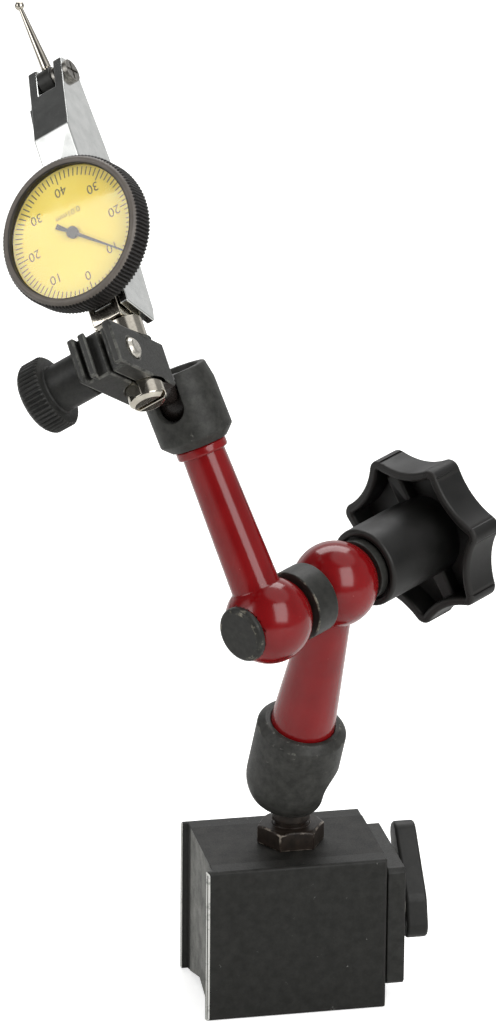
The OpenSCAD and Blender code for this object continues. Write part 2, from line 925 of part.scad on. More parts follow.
module upper_arm() {
    spigot_low = upper_len - upper_cup_drop;
    color(red_enamel)
        upper_frame()
            difference() {
                union() {
                    hub_block();
                    cylinder(d1 = upper_d_hub, d2 = upper_d_cup, h = bead_z);
                    translate([0, 0, bead_z])
                        cylinder(d = bead_d, h = spigot_low - bead_z);
                    translate([0, 0, spigot_low])
                        cylinder(d = upper_d_cup, h = upper_arm_end - spigot_low);
                }
                cylinder(d = rod_d + 2 * run_fit, h = upper_len);
                translate([0, 0, upper_arm_end - upper_seat_len])
                    cylinder(d = upper_seat_d + 2 * run_fit, h = upper_seat_len + through);
                bar_y(bolt_d1 + 2 * run_fit, -hub_half - through, cone_half);
                bar_y(bolt_d2 + 2 * run_fit, 0, hub_half + through);
            }
}

module upper_cup() {
    r = upper_cup_d / 2;
    low_round = 2;
    rim_taper = 0.7;
    taper_from = 2.4;
    seat_drop = upper_ball_r + 1.4;
    notch_d = jaw_stem_d + 0.8;
    mouth_r = sqrt(upper_socket_r * upper_socket_r - upper_lip * upper_lip);
    color(steel_black)
        upper_frame()
            translate([0, 0, upper_len])
                difference() {
                    union() {
                        translate([0, 0, -upper_cup_drop])
                            cylinder(r1 = r - low_round, r2 = r, h = low_round);
                        translate([0, 0, low_round - upper_cup_drop])
                            cylinder(r = r, h = upper_cup_drop - low_round + taper_from);
                        translate([0, 0, taper_from])
                            cylinder(r1 = r, r2 = r - rim_taper, h = upper_cup_rise - taper_from);
                    }
                    sphere(r = upper_socket_r);
                    translate([0, 0, -seat_drop])
                        cylinder(r = upper_socket_r, h = seat_drop);
                    translate([0, 0, -upper_cup_drop - through])
                        cylinder(d = upper_d_cup + 2 * run_fit, h = upper_cup_drop + through);
                    translate([0, 0, upper_lip])
                        cylinder(r1 = mouth_r, r2 = mouth_r + 0.8, h = upper_cup_rise - upper_lip + 0.01);
                    rotate([0, 0, notch_turn]) {
                        rotate([0, 90, 0])
                            cylinder(d = notch_d, h = r + through);
                        translate([0, -notch_d / 2, 0])
                            cube([r + through, notch_d, upper_cup_rise + through]);
                    }
                }
}

module upper_seat() {
    color(brass)
        upper_frame()
            difference() {
                translate([0, 0, upper_arm_end - upper_seat_len + 0.1])
                    cylinder(d = upper_seat_d, h = upper_seat_len + 1.6);
                translate([0, 0, upper_len])
                    sphere(r = upper_socket_r);
            }
}

module upper_push_rod() {
    color(steel_grey)
        upper_frame() {
            translate([0, 0, upper_rod_low])
                cylinder(d1 = rod_tip_d, d2 = rod_d, h = rod_tip_len);
            translate([0, 0, upper_rod_low + rod_tip_len])
                cylinder(d = rod_d, h = upper_arm_end - upper_seat_len - upper_rod_low - rod_tip_len);
        }
}

module upper_ball() {
    color(steel_grey)
        clamp_frame()
            difference() {
                sphere(d = upper_ball_d);
                translate([0, 0, -2])
                    cylinder(d = ball_pin_d + 2 * run_fit, h = upper_ball_r + 3);
            }
}

// Clamp: the stem carries the fixed jaw, the thumb screw draws the moving jaw in

module jaw_stem() {
    collar_from = jaw_from - stem_boss_len - 1.5;
    color(steel_grey)
        clamp_frame() {
            translate([0, 0, -1.9])
                cylinder(d = ball_pin_d, h = upper_ball_r + 2.4);
            translate([0, 0, upper_ball_r + 0.3])
                cylinder(d = jaw_stem_d, h = collar_from - upper_ball_r - 0.3);
            translate([0, 0, collar_from])
                cylinder(d = stem_boss_d, h = 1.5);
            translate([0, 0, collar_from + 1.5])
                cylinder(d = jaw_stem_d - 1, h = stem_boss_len + 1.6);
        }
}

module jaw_blank(x0, x1) {
    translate([x0, -jaw_h / 2, jaw_from])
        cube([x1 - x0, jaw_h, jaw_len]);
}

module stem_bore() {
    translate([part_x, 0, bore_z])
        bar_y(stem_d + 2 * run_fit, -jaw_h / 2 - through, jaw_h / 2 + through);
}

module dovetail_cut() {
    m = dovetail_mouth / 2;
    translate([part_x, jaw_h / 2 + through, jaw_to])
        rotate([90, 0, 0])
            linear_extrude(jaw_h + 2 * through)
                polygon([[-m, through], [-m, 0], [-m - dovetail_flare, -dovetail_depth],
                    [m + dovetail_flare, -dovetail_depth], [m, 0], [m, through]]);
}

module fixed_jaw() {
    kerf_w = 1;
    kerf_deep = 2;
    kerf_x = -fixed_out + 1.6;
    color(steel_black)
        clamp_frame()
            difference() {
                union() {
                    jaw_blank(-fixed_out, part_x - jaw_gap / 2);
                    translate([0, 0, jaw_from - stem_boss_len])
                        cylinder(d = stem_boss_d - 1.2, h = stem_boss_len + 1);
                }
                translate([part_x - jaw_gap / 2, -jaw_h, 0])
                    cube([jaw_h, 2 * jaw_h, jaw_to]);
                stem_bore();
                dovetail_cut();
                translate([0, 0, screw_z])
                    bar_x(thumb_d + 0.6, -fixed_out - through, part_x + through);
                translate([0, 0, jaw_from - stem_boss_len - through])
                    cylinder(d = jaw_stem_d - 1 + 2 * run_fit, h = stem_boss_len + 1.8 + through);
                translate([kerf_x, -jaw_h, jaw_to - kerf_deep])
                    cube([kerf_w, 2 * jaw_h, kerf_deep + through]);
            }
}

module moving_jaw() {
    color(steel_black)
        clamp_frame()
            difference() {
                jaw_blank(part_x + jaw_gap / 2, moving_out);
                stem_bore();
                dovetail_cut();
                translate([0, 0, screw_z])
                    bar_x(thumb_d + 2 * run_fit, part_x, moving_out + through);
            }
}

module thumb_knob() {
    head_r = thumb_head_d / 2;
    ridge_r = PI * head_r / thumb_ridges * 0.42;
    edge = 1.1;
    color(steel_black)
        clamp_frame()
            translate([0, 0, screw_z])
                difference() {
                    union() {
                        bar_x(thumb_collar_d, thumb_head_x - 0.1, thumb_x);
                        intersection() {
                            translate([thumb_head_x - thumb_head_h, 0, 0])
                                rotate([0, 90, 0])
                                    union() {
                                        cylinder(r1 = head_r - edge, r2 = head_r, h = edge);
                                        translate([0, 0, edge])
                                            cylinder(r = head_r, h = thumb_head_h - edge);
                                    }
                            translate([thumb_head_x - thumb_head_h, 0, 0])
                                rotate([0, 90, 0])
                                    linear_extrude(thumb_head_h)
                                        difference() {
                                            circle(r = head_r);
                                            for (i = [0 : thumb_ridges - 1])
                                                rotate(i * 360 / thumb_ridges)
                                                    translate([head_r + ridge_r * 0.4, 0])
                                                        circle(r = ridge_r);
                                        }
                        }
                    }
                    bar_x(thumb_d + 2 * run_fit, thumb_head_x - 2, thumb_x + through);
                }
}

module clamp_screw() {
    color(nickel)
        clamp_frame()
            translate([0, 0, screw_z]) {
                bar_x(thumb_d, thumb_head_x - 1.9, moving_out + 0.2);
                translate([moving_out + 0.2, 0, 0])
                    rotate([0, 90, 0])
                        cylinder(d1 = thumb_d, d2 = thumb_d - 1.6, h = peen_h - 0.2);
            }
}

// Indicator: stem, dovetail clamp, body with its cover, bezel, movement, stylus

module indicator_stem() {
    edge = 0.8;
    slot_w = 1.2;
    slot_deep = 1.4;
    color(nickel)
        indicator_frame()
            difference() {
                union() {
                    cone_y(stem_d - 2 * edge, stem_d, -stem_drop, edge - stem_drop);
                    bar_y(stem_d, edge - stem_drop, stem_top);
                }
                translate([-stem_d, -stem_drop - through, -slot_w / 2])
                    cube([2 * stem_d, slot_deep + through, slot_w]);
            }
}

module tail_outline(gap) {
    w = tail_w / 2 + gap;
    polygon([[-w, -gap], [w, -gap], [w - tail_flare, tail_h], [w - tail_flare, tail_h + through],
        [tail_flare - w, tail_h + through], [tail_flare - w, tail_h]]);
}

module dovetail_clamp() {
    low = stem_top + 0.15;
    high = body_low - 0.25;
    color(nickel)
        case_frame()
            difference() {
                translate([clip_x, low, -clip_half])
                    cube([clip_half - clip_x, high - low, 2 * clip_half]);
                translate([tail_x, body_low - tail_h, -clip_half - through])
                    linear_extrude(2 * clip_half + 2 * through)
                        tail_outline(run_fit);
                translate([0, clip_screw_y, 0])
                    bar_x(clip_screw_d + 2 * run_fit, clip_x - through, clip_half + through);
            }
}

module dovetail_screw() {
    head_d = 2.8;
    head_h = 1.3;
    slot_w = 0.5;
    color(steel_grey)
        case_frame()
            translate([0, clip_screw_y, 0])
                difference() {
                    union() {
                        bar_x(clip_screw_d, clip_x + 0.2, clip_half);
                        bar_x(head_d, clip_half, clip_half + head_h);
                    }
                    translate([clip_half + head_h, 0, 0])
                        cube([2 * slot_w, head_d + through, slot_w], center = true);
                }
}

function back_z(y) = y < deep_y
    ? body_back - (back_deep + body_back) * (y - body_low) / (deep_y - body_low)
    : -back_deep + (nose_back + back_deep) * (y - deep_y) / (nose_y - deep_y);

function front_z(y) = y < neck_y
    ? body_front_z
    : body_front_z + (nose_front - body_front_z) * (y - neck_y) / (nose_y - neck_y);

module body_side() {
    edge = 1.6;
    polygon([[body_low, body_back + edge], [body_low + edge, back_z(body_low + edge)],
        [deep_y, -back_deep], [nose_y - edge, back_z(nose_y - edge)], [nose_y, nose_back + edge],
        [nose_y, nose_front], [neck_y, body_front_z], [body_low, body_front_z]]);
}

module cheek_side() {
    lap = 3;
    polygon([[cheek_back_y, cheek_back], [cheek_back_y + lap, body_back],
        [body_low + lap, back_z(body_low + lap)], [body_low + lap, body_front_z],
        [cheek_front_y, body_front_z]]);
}

module cavity_side() {
    polygon([[cavity_low, back_z(cavity_low) + wall_back], [deep_y, wall_back - back_deep],
        [cavity_high, back_z(cavity_high) + wall_back], [cavity_high, front_z(cavity_high) - wall_back],
        [cavity_low, cavity_front]]);
}

module cover_side(gap) {
    g = cover_rim - gap;
    low = cavity_low - cover_end + gap;
    high = cover_high - gap;
    polygon([[low, back_z(low) + wall_back - g], [deep_y, wall_back - back_deep - g],
        [high, back_z(high) + wall_back - g], [high, front_z(high) - wall_back + g],
        [neck_y, cavity_front + g], [low, cavity_front + g]]);
}

module body_front(extra) {
    a = body_w / 2 + extra;
    b = head_w / 2 + extra;
    polygon([[-a, body_low], [a, body_low], [a, neck_y], [b, cover_high + cover_rim], [b, nose_y + through],
        [-b, nose_y + through], [-b, cover_high + cover_rim], [-a, neck_y]]);
}

module body_width(extra) {
    translate([0, 0, -back_deep - through])
        linear_extrude(bezel_z + back_deep + 2 * through)
            body_front(extra);
}

module across_body(from, to) {
    translate([from, 0, 0])
        rotate([90, 0, 90])
            linear_extrude(to - from)
                children();
}

module cover_screw_places() {
    translate([body_w / 2 + cover_proud, cavity_low - cover_end / 2, cavity_front - 4])
        children();
    translate([body_w / 2 + cover_proud, (cavity_high + cover_high) / 2, pivot_z + 1])
        children();
}

module indicator_body() {
    slot_gap = 0.5;
    color(nickel)
        case_frame()
            difference() {
                union() {
                    intersection() {
                        across_body(-body_w, body_w)
                            body_side();
                        body_width(0);
                    }
                    across_body(-body_w / 2, cheek_t - body_w / 2)
                        cheek_side();
                    translate([0, dial_y, cavity_front + 1])
                        cylinder(d = case_d, h = dial_z - 0.2 - cavity_front - 1);
                    translate([tail_x, body_low - tail_h, -clip_half])
                        linear_extrude(2 * clip_half)
                            tail_outline(0);
                }
                across_body(-cavity_w / 2, body_w)
                    cavity_side();
                translate([lever_plate_x - slot_gap, cavity_high - through, pivot_z - 1])
                    cube([lever_plate_t + 2 * slot_gap, fork_low + 2 * through - cavity_high, 3]);
                translate([-fork_gap / 2, fork_low, nose_back - through])
                    cube([fork_gap, fork_deep, body_front_z - nose_back + 2 * through]);
                translate([0, pivot_y, pivot_z])
                    bar_x(pivot_d + 2 * run_fit, -head_w, head_w);
                translate([0, dial_y, 0])
                    cylinder(d = arbor_d + 2 * run_fit, h = dial_z);
                across_body(body_w / 2 - cover_t, body_w)
                    cover_side(0);
                cover_screw_places()
                    bar_x(cover_screw_d + 2 * run_fit, -cover_screw_len, through);
            }
}

module side_cover() {
    color(nickel)
        case_frame()
            difference() {
                across_body(body_w / 2 - cover_t, body_w / 2 + cover_proud)
                    cover_side(run_fit);
                cover_screw_places()
                    bar_x(cover_screw_d + 2 * run_fit, -cover_screw_len, through);
            }
}

module cover_screws() {
    slot_w = 0.4;
    color(steel_grey)
        case_frame()
            cover_screw_places()
                difference() {
                    union() {
                        bar_x(cover_screw_d, -cover_screw_len, 0);
                        bar_x(cover_head_d, 0, cover_head_h);
                    }
                    translate([cover_head_h, 0, 0])
                        cube([cover_head_h, slot_w, cover_head_d + through], center = true);
                }
}

module at_dial() {
    indicator_frame()
        translate([0, dial_y, 0])
            children();
}

module bezel() {
    r = bezel_d / 2;
    inner = r - bezel_wall;
    edge = 0.6;
    top = bezel_z + bezel_h;
    color(black_plastic)
        at_dial()
            rotate_extrude()
                polygon([[inner, bezel_z], [r - edge, bezel_z], [r, bezel_z + edge], [r, top - edge],
                    [r - edge, top], [inner - bezel_lip + 0.3, top], [inner - bezel_lip, top - bezel_lip_t],
                    [inner, top - bezel_lip_t]]);
}

module crystal() {
    color("#dfe8ea", 0.5)
        at_dial()
            translate([0, 0, crystal_z])
                cylinder(r = bezel_d / 2 - bezel_wall - run_fit, h = crystal_t);
}

module dial_plate() {
    color(dial_yellow)
        at_dial()
            translate([0, 0, dial_z])
                difference() {
                    cylinder(d = dial_d, h = dial_t);
                    translate([0, 0, -through])
                        cylinder(d = 2.4, h = 3 * through);
                }
}

module bezel_spring() {
    color(steel_grey)
        at_dial()
            rotate_extrude()
                translate([dial_d / 2 - spring_w, bezel_z])
                    square([spring_w, dial_z - bezel_z - 0.05]);
}

module pointer() {
    tip = dial_d / 2 - 1.4;
    tail = 4.4;
    hub = 2.6;
    blade_t = 0.3;
    hub_h = 0.7;
    cap_h = 0.2;
    color(steel_grey)
        at_dial()
            translate([0, 0, pointer_z])
                difference() {
                    rotate([0, 0, pointer_rest])
                        union() {
                            cylinder(d = hub, h = hub_h);
                            linear_extrude(blade_t)
                                polygon([[-tail, -0.6], [-tail, 0.6], [-hub / 2, 0.35], [0, 0.4],
                                    [tip, 0.12], [tip, -0.12], [0, -0.4], [-hub / 2, -0.35]]);
                        }
                    translate([0, 0, -through])
                        cylinder(d = arbor_d + 2 * run_fit, h = through + hub_h - cap_h);
                }
}

module pointer_arbor() {
    pinion_low = crown_z + crown_d / 2 - 1.2;
    color(brass)
        at_dial() {
            translate([0, 0, pinion_low])
                cylinder(d = pinion_d, h = cavity_front - 0.1 - pinion_low);
            translate([0, 0, cavity_front - 0.1])
                cylinder(d = arbor_d, h = pointer_z + 0.5 - cavity_front);
        }
}

module crown_gear() {
    teeth = 40;
    tooth_w = 0.24;
    tooth_h = 0.4;
    axle_d = 0.9;
    end_gap = 0.1;
    pinion_lap = 0.3;
    wheel_x = pinion_d / 2 + mesh_gap;
    color(brass)
        case_frame()
            translate([0, dial_y, crown_z]) {
                bar_x(axle_d, end_gap - cavity_w / 2, body_w / 2 - cover_t - end_gap);
                bar_x(crown_pinion_d, lever_plate_x - pinion_lap,
                    lever_plate_x + lever_plate_t + pinion_lap);
                translate([wheel_x, 0, 0])
                    rotate([0, 90, 0])
                        linear_extrude(crown_t_x)
                            union() {
                                circle(d = crown_d - 2 * tooth_h);
                                for (i = [0 : teeth - 1])
                                    rotate(i * 360 / teeth)
                                        translate([0, -tooth_w / 2])
                                            square([crown_d / 2, tooth_w]);
                            }
            }
}

module sector_lever() {
    ring_d = 5;
    arm_w = 1.8;
    sector_h = 4.4;
    color(steel_grey)
        case_frame()
            translate([lever_plate_x, pivot_y, pivot_z])
                rotate([-sector_lean, 0, 0])
                    rotate([90, 0, 90])
                        linear_extrude(lever_plate_t)
                            difference() {
                                union() {
                                    circle(d = ring_d);
                                    translate([1 - sector_r, -arm_w / 2])
                                        square([sector_r - 1, arm_w]);
                                    intersection() {
                                        difference() {
                                            circle(r = sector_r);
                                            circle(r = sector_r - 2);
                                        }
                                        translate([-sector_r - 1, -sector_h / 2])
                                            square([6, sector_h]);
                                    }
                                }
                                circle(d = barrel_axle_d + 2 * run_fit);
                            }
}

module stylus_barrel() {
    end_gap = 0.15;
    cone_d = 1;
    cone_in = 0.8;
    from = lever_plate_x + lever_plate_t + 0.1;
    to = fork_gap / 2 - end_gap;
    color(steel_black)
        case_frame()
            translate([0, pivot_y, pivot_z])
                rotate([stylus_lean, 0, 0])
                    difference() {
                        union() {
                            bar_x(barrel_d, from, to);
                            bar_x(barrel_axle_d, -to, from);
                        }
                        bar_x(cone_d, -fork_gap, cone_in - to);
                        bar_x(cone_d, to - cone_in, fork_gap);
                        bar_y(stylus_root_d + 2 * run_fit, stylus_from - 0.1, barrel_d);
                    }
}

module stylus() {
    shank_d = 2.2;
    neck_end_d = 0.9;
    shank_y = barrel_d / 2 + 0.2;
    color(nickel)
        indicator_frame()
            translate([0, pivot_y, pivot_z])
                rotate([stylus_lean, 0, 0]) {
                    bar_y(stylus_root_d, stylus_from, shank_y + 1);
                    cone_y(shank_d, neck_end_d, shank_y, stylus_len - 0.6 * tip_d / 2);
                    translate([0, stylus_len, 0])
                        sphere(d = tip_d);
                }
}

module pivot_screws() {
    face = head_w / 2;
    point_d = 0.8;
    point_len = 0.7;
    cross = [0.8, 0.6, pivot_head_d - 1];
    color(steel_grey)
        indicator_frame()
            translate([0, pivot_y, pivot_z])
                for (s = [0, 1])
                    mirror([s, 0, 0])
                        difference() {
                            union() {
                                bar_x(point_d, fork_gap / 2 - point_len, fork_gap / 2);
                                bar_x(pivot_d, fork_gap / 2, face);
                                if (s == 0)
                                    bar_x(pivot_head_d, face, face + pivot_head_h);
                            }
                            if (s == 0)
                                translate([face + pivot_head_h, 0, 0]) {
                                    cube(cross, center = true);
                                    cube([cross.x, cross.z, cross.y], center = true);
                                }
                        }
}

front_pole();
rear_pole();
core_block();
magnet_rotor();
rotor_bush();
switch_plate();
plate_screws();
switch_spindle();
switch_lever();
lever_screw();
jam_nut();
ball_stud();
lower_seat();
lower_cup();
lower_arm();
lower_push_rod();
clamp_bolt();
spacer_ring();
thrust_collar();
star_knob();
knob_insert();
upper_arm();
upper_cup();
upper_seat();
upper_push_rod();
upper_ball();
jaw_stem();
fixed_jaw();
moving_jaw();
thumb_knob();
clamp_screw();
indicator_stem();
dovetail_clamp();
dovetail_screw();
indicator_body();
side_cover();
cover_screws();
bezel();
crystal();
dial_plate();
bezel_spring();
pointer();
pointer_arbor();
crown_gear();
sector_lever();
stylus_barrel();
stylus();
pivot_screws();
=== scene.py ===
import json
import math

import bmesh
import bpy
from mathutils import Matrix, Vector

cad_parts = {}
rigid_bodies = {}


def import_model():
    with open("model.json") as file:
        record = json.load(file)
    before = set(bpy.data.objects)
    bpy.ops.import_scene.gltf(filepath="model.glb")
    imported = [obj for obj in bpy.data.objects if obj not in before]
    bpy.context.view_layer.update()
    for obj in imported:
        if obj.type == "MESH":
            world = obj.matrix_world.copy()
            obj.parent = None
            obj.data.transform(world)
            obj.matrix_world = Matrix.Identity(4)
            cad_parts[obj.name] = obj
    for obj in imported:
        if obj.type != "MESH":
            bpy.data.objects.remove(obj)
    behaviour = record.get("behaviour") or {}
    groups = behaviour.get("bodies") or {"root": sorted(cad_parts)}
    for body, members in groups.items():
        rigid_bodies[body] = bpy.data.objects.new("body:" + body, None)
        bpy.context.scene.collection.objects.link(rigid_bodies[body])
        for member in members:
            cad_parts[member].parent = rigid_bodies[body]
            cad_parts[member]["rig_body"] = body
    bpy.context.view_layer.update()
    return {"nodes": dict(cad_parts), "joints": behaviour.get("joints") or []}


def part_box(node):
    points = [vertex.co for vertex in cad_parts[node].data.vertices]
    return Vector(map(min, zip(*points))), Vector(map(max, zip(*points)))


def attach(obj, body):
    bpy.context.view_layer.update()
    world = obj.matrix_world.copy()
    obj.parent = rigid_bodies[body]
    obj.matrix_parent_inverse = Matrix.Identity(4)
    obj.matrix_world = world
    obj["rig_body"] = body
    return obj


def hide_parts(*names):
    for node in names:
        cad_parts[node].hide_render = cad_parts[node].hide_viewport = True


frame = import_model()
MM = 0.001

# Studio camera. A long lens looks down on the stand from its left front, as the catalogue shot does.
# The sensor's long side lies along the picture's height of 1024 pixels.
azimuth, elevation, roll = (math.radians(a) for a in (-11.888, 20.006, 0.454))
to_lens = Vector((math.sin(azimuth) * math.cos(elevation), -math.cos(azimuth) * math.cos(elevation),
                  math.sin(elevation)))
level = Vector((math.cos(azimuth), math.sin(azimuth), 0))
upright = to_lens.cross(level)
right = level * math.cos(roll) + upright * math.sin(roll)
up = upright * math.cos(roll) - level * math.sin(roll)
camera = bpy.data.objects.new("studio_camera", bpy.data.cameras.new("studio_camera"))
camera.data.sensor_width = 36
camera.data.lens = 36 * 5905.45 / 1024
camera.data.clip_end = 20
place = (right * -7.444 + up * 104.473 + to_lens * 1300) * MM
camera.matrix_world = Matrix((right, up, to_lens)).transposed().to_4x4()
camera.matrix_world.translation = place
bpy.context.scene.collection.objects.link(camera)
bpy.context.scene.camera = camera
bpy.context.scene.view_settings.view_transform = "Standard"


def linear(code):
    """An sRGB hex colour as the linear RGBA that a shader socket takes."""
    parts = [int(code[i:i + 2], 16) / 255 for i in (1, 3, 5)]
    return [p / 12.92 if p <= 0.04045 else ((p + 0.055) / 1.055) ** 2.4 for p in parts] + [1.0]


def add(tree, kind, settings):
    """Adds a node. A setting links if it is a node's output, else it is a socket's value or a property."""
    made = tree.nodes.new(kind)
    for key, value in settings.items():
        socket = made.inputs[key] if isinstance(key, int) else made.inputs.get(key)
        if isinstance(value, bpy.types.NodeSocket):
            tree.links.new(value, socket)
        elif socket is not None:
            socket.default_value = value
        else:
            setattr(made, key, value)
    return made


# Studio surround. White paper under and behind the object, a dark room at the sides, and soft boxes: a tall
# one beside the lens, one low on the left that glazes half the dial, and one overhead behind the stand.
world = bpy.data.worlds.new("white_studio")
bpy.context.scene.world = world
world.use_nodes = True
tree = world.node_tree
tree.nodes.clear()
ray = add(tree, "ShaderNodeLightPath", {})
seen = add(tree, "ShaderNodeMath", {"operation": "MAXIMUM", 0: ray.outputs["Is Camera Ray"],
                                    1: ray.outputs["Is Transmission Ray"]})
facing = add(tree, "ShaderNodeTexCoord", {}).outputs["Generated"]
behind = add(tree, "ShaderNodeVectorMath", {"operation": "DOT_PRODUCT", 0: facing, 1: -to_lens})
backdrop = add(tree, "ShaderNodeMapRange", {"Value": behind.outputs["Value"], "From Min": 0.42,
                                            "From Max": 0.78, "To Min": 0.1, "To Max": 0.92})
wall_way = Vector((-0.865, -0.043, 0.50))
beside = add(tree, "ShaderNodeVectorMath", {"operation": "DOT_PRODUCT", 0: facing, 1: wall_way})
side_wall = add(tree, "ShaderNodeMapRange", {"Value": beside.outputs["Value"], "From Min": 0.90,
                                             "From Max": 0.96, "To Min": 0.1, "To Max": 1.1})
lens_side = add(tree, "ShaderNodeVectorMath", {"operation": "DOT_PRODUCT", 0: facing, 1: right})
far_wall = add(tree, "ShaderNodeMapRange", {"Value": lens_side.outputs["Value"], "From Min": 0.0,
                                            "From Max": 0.8, "To Min": 0.1, "To Max": 0.34})
room = add(tree, "ShaderNodeMath", {"operation": "MAXIMUM", 0: backdrop.outputs["Result"],
                                    1: side_wall.outputs["Result"]})
room = add(tree, "ShaderNodeMath", {"operation": "MAXIMUM", 0: room.outputs[0],
                                    1: far_wall.outputs["Result"]})
overhead = add(tree, "ShaderNodeVectorMath", {"operation": "DOT_PRODUCT", 0: facing,
                                              1: (right * 0.3 + up * 0.93 + to_lens * 0.2).normalized()})
ceiling = add(tree, "ShaderNodeMapRange", {"Value": overhead.outputs["Value"], "From Min": 0.87,
                                           "From Max": 0.93, "To Min": 0.1, "To Max": 1.0})
room = add(tree, "ShaderNodeMath", {"operation": "MAXIMUM", 0: room.outputs[0],
                                    1: ceiling.outputs["Result"]})
plain = add(tree, "ShaderNodeBackground", {"Color": (1, 1, 1, 1), "Strength": 0.33})
mirror = add(tree, "ShaderNodeBackground", {"Color": (1, 1, 1, 1), "Strength": room.outputs[0]})
paper = add(tree, "ShaderNodeBackground", {"Color": (1, 1, 1, 1), "Strength": 1.0})
lit = add(tree, "ShaderNodeMixShader", {0: ray.outputs["Is Glossy Ray"], 1: plain.outputs[0],
                                        2: mirror.outputs[0]})
whole = add(tree, "ShaderNodeMixShader", {0: seen.outputs[0], 1: lit.outputs[0], 2: paper.outputs[0]})
add(tree, "ShaderNodeOutputWorld", {"Surface": whole.outputs[0]})

sweep = bpy.data.meshes.new("paper_sweep")
reach = 6.0
sweep.from_pydata([(-reach, -reach, 0), (reach, -reach, 0), (reach, reach, 0), (-reach, reach, 0)], [],
                  [(0, 1, 2, 3)])
floor = bpy.data.objects.new("paper_sweep", sweep)
floor.location.z = -0.05 * MM
bpy.context.scene.collection.objects.link(floor)
# Paper: white and matte. It keeps the soft shadow and is lit up enough to meet the white ground.
white_paper = bpy.data.materials.new("white_paper")
white_paper.use_nodes = True
tree = white_paper.node_tree
tree.nodes.clear()
ray = add(tree, "ShaderNodeLightPath", {})
seen = add(tree, "ShaderNodeMath", {"operation": "MAXIMUM", 0: ray.outputs["Is Camera Ray"],
                                    1: ray.outputs["Is Transmission Ray"]})
matte = add(tree, "ShaderNodeBsdfDiffuse", {"Color": linear("#f2f2f0")})
glow = add(tree, "ShaderNodeEmission", {"Color": (1, 1, 1, 1), "Strength": 0.62})
both = add(tree, "ShaderNodeAddShader", {0: matte.outputs[0], 1: glow.outputs[0]})
surface = add(tree, "ShaderNodeMixShader", {0: seen.outputs[0], 1: matte.outputs[0], 2: both.outputs[0]})
add(tree, "ShaderNodeOutputMaterial", {"Surface": surface.outputs[0]})
sweep.materials.append(white_paper)


def soft_box(name, spot, target, upright, wide, high, watts):
    """A rectangular lamp in metres with its face turned to the target and its height along upright."""
    lamp = bpy.data.lights.new(name, "AREA")
    lamp.shape = "RECTANGLE"
    lamp.size, lamp.size_y, lamp.energy = wide, high, watts
    away = (spot - target).normalized()
    tall = (upright - away * upright.dot(away)).normalized()
    made = bpy.data.objects.new(name, lamp)
    made.matrix_world = Matrix((tall.cross(away), tall, away)).transposed().to_4x4()
    made.matrix_world.translation = spot
    bpy.context.scene.collection.objects.link(made)


middle = Vector((0, -0.03, 0.11))
soft_box("right_soft_box", middle + (to_lens * 0.786 + right * 0.53 + up * 0.32) * 1.1, middle, up,
         0.66, 1.0, 8.8)
soft_box("top_soft_box", middle + (up * 0.935 - to_lens * 0.35 - right * 0.046) * 1.0, middle, to_lens,
         0.9, 0.45, 5.4)

# Dial place. The bezel's pin and the stem's slide in the record give the dial's middle and its three axes;
# the low soft box stands where the crystal mirrors it, with its upper edge across the middle of the dial.
joints = {joint["name"]: joint for joint in frame["joints"]}
dial_up = Vector(joints["bezel_turn"]["axis"])
dial_along = Vector(joints["stem_slide"]["axis"])
dial_across = dial_along.cross(dial_up)
pin = Vector(joints["bezel_turn"]["pos_m"])
seat = min((v.co - pin).dot(dial_up) for v in frame["nodes"]["bezel"].data.vertices)
dial_frame = Matrix((dial_across, dial_along, dial_up)).transposed().to_4x4()
dial_frame.translation = pin + dial_up * seat
glance = (place - dial_frame.translation).normalized()
mirrored = dial_up * (2 * dial_up.dot(glance)) - glance
low_side = (dial_along - mirrored * dial_along.dot(mirrored)).normalized() * -1
box_high, box_far, edge_past = 0.62, 1.1, 0.02
soft_box("left_soft_box",
         dial_frame.translation + mirrored * box_far + low_side * (box_high / 2 - edge_past),
         dial_frame.translation, low_side, box_high, box_high, 3.0)


# Base. Two ground steel pole plates clamp a steel core block that holds the magnet; chemically blackened
# after grinding, with the oxide rubbed through to bright steel; the lips at the left end are painted
# brightest, wear and painted highlight.
def softened(node, width, rub=0.3, steps=3, above=32, chosen=None):
    """A CAD solid with its outer edges broken by width mm; rub, a number or a rule by place, is wear."""
    source = frame["nodes"][node]
    work = bmesh.new()
    work.from_mesh(source.data)
    bmesh.ops.remove_doubles(work, verts=work.verts, dist=0.002 * MM)
    bmesh.ops.dissolve_limit(work, angle_limit=math.radians(0.5), use_dissolve_boundaries=False,
                             verts=work.verts, edges=work.edges, delimit={"NORMAL"})
    worn = work.faces.layers.float.new("worn")
    sharp = [e for e in work.edges if len(e.link_faces) == 2 and e.is_convex
             and e.calc_face_angle(0) > math.radians(above)
             and (chosen is None or chosen((e.verts[0].co + e.verts[1].co) / 2 / MM))]
    broken = bmesh.ops.bevel(work, geom=sharp, offset=width * MM, segments=steps, profile=0.55,
                             affect="EDGES", clamp_overlap=False)
    for face in broken["faces"]:
        face[worn] = rub(face.calc_center_median() / MM) if callable(rub) else rub
    return as_piece(work, node, source["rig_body"])


def as_piece(work, node, body):
    """Turns finished mesh work into the piece that stands for a CAD node and rides on its body."""
    mesh = bpy.data.meshes.new(node + "_piece")
    for face in work.faces:
        face.smooth = True
    work.to_mesh(mesh)
    work.free()
    mesh.set_sharp_from_angle(angle=math.radians(34))
    made = bpy.data.objects.new(node + "_piece", mesh)
    bpy.context.scene.collection.objects.link(made)
    made.modifiers.new("flat_faces_stay_flat", "WEIGHTED_NORMAL").keep_sharp = True
    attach(made, body)
    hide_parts(node)
    return made


def finish_with(made, *materials):
    """Gives a piece or a CAD node its materials."""
    made.data.materials.clear()
    for material in materials:
        made.data.materials.append(material)
    return made


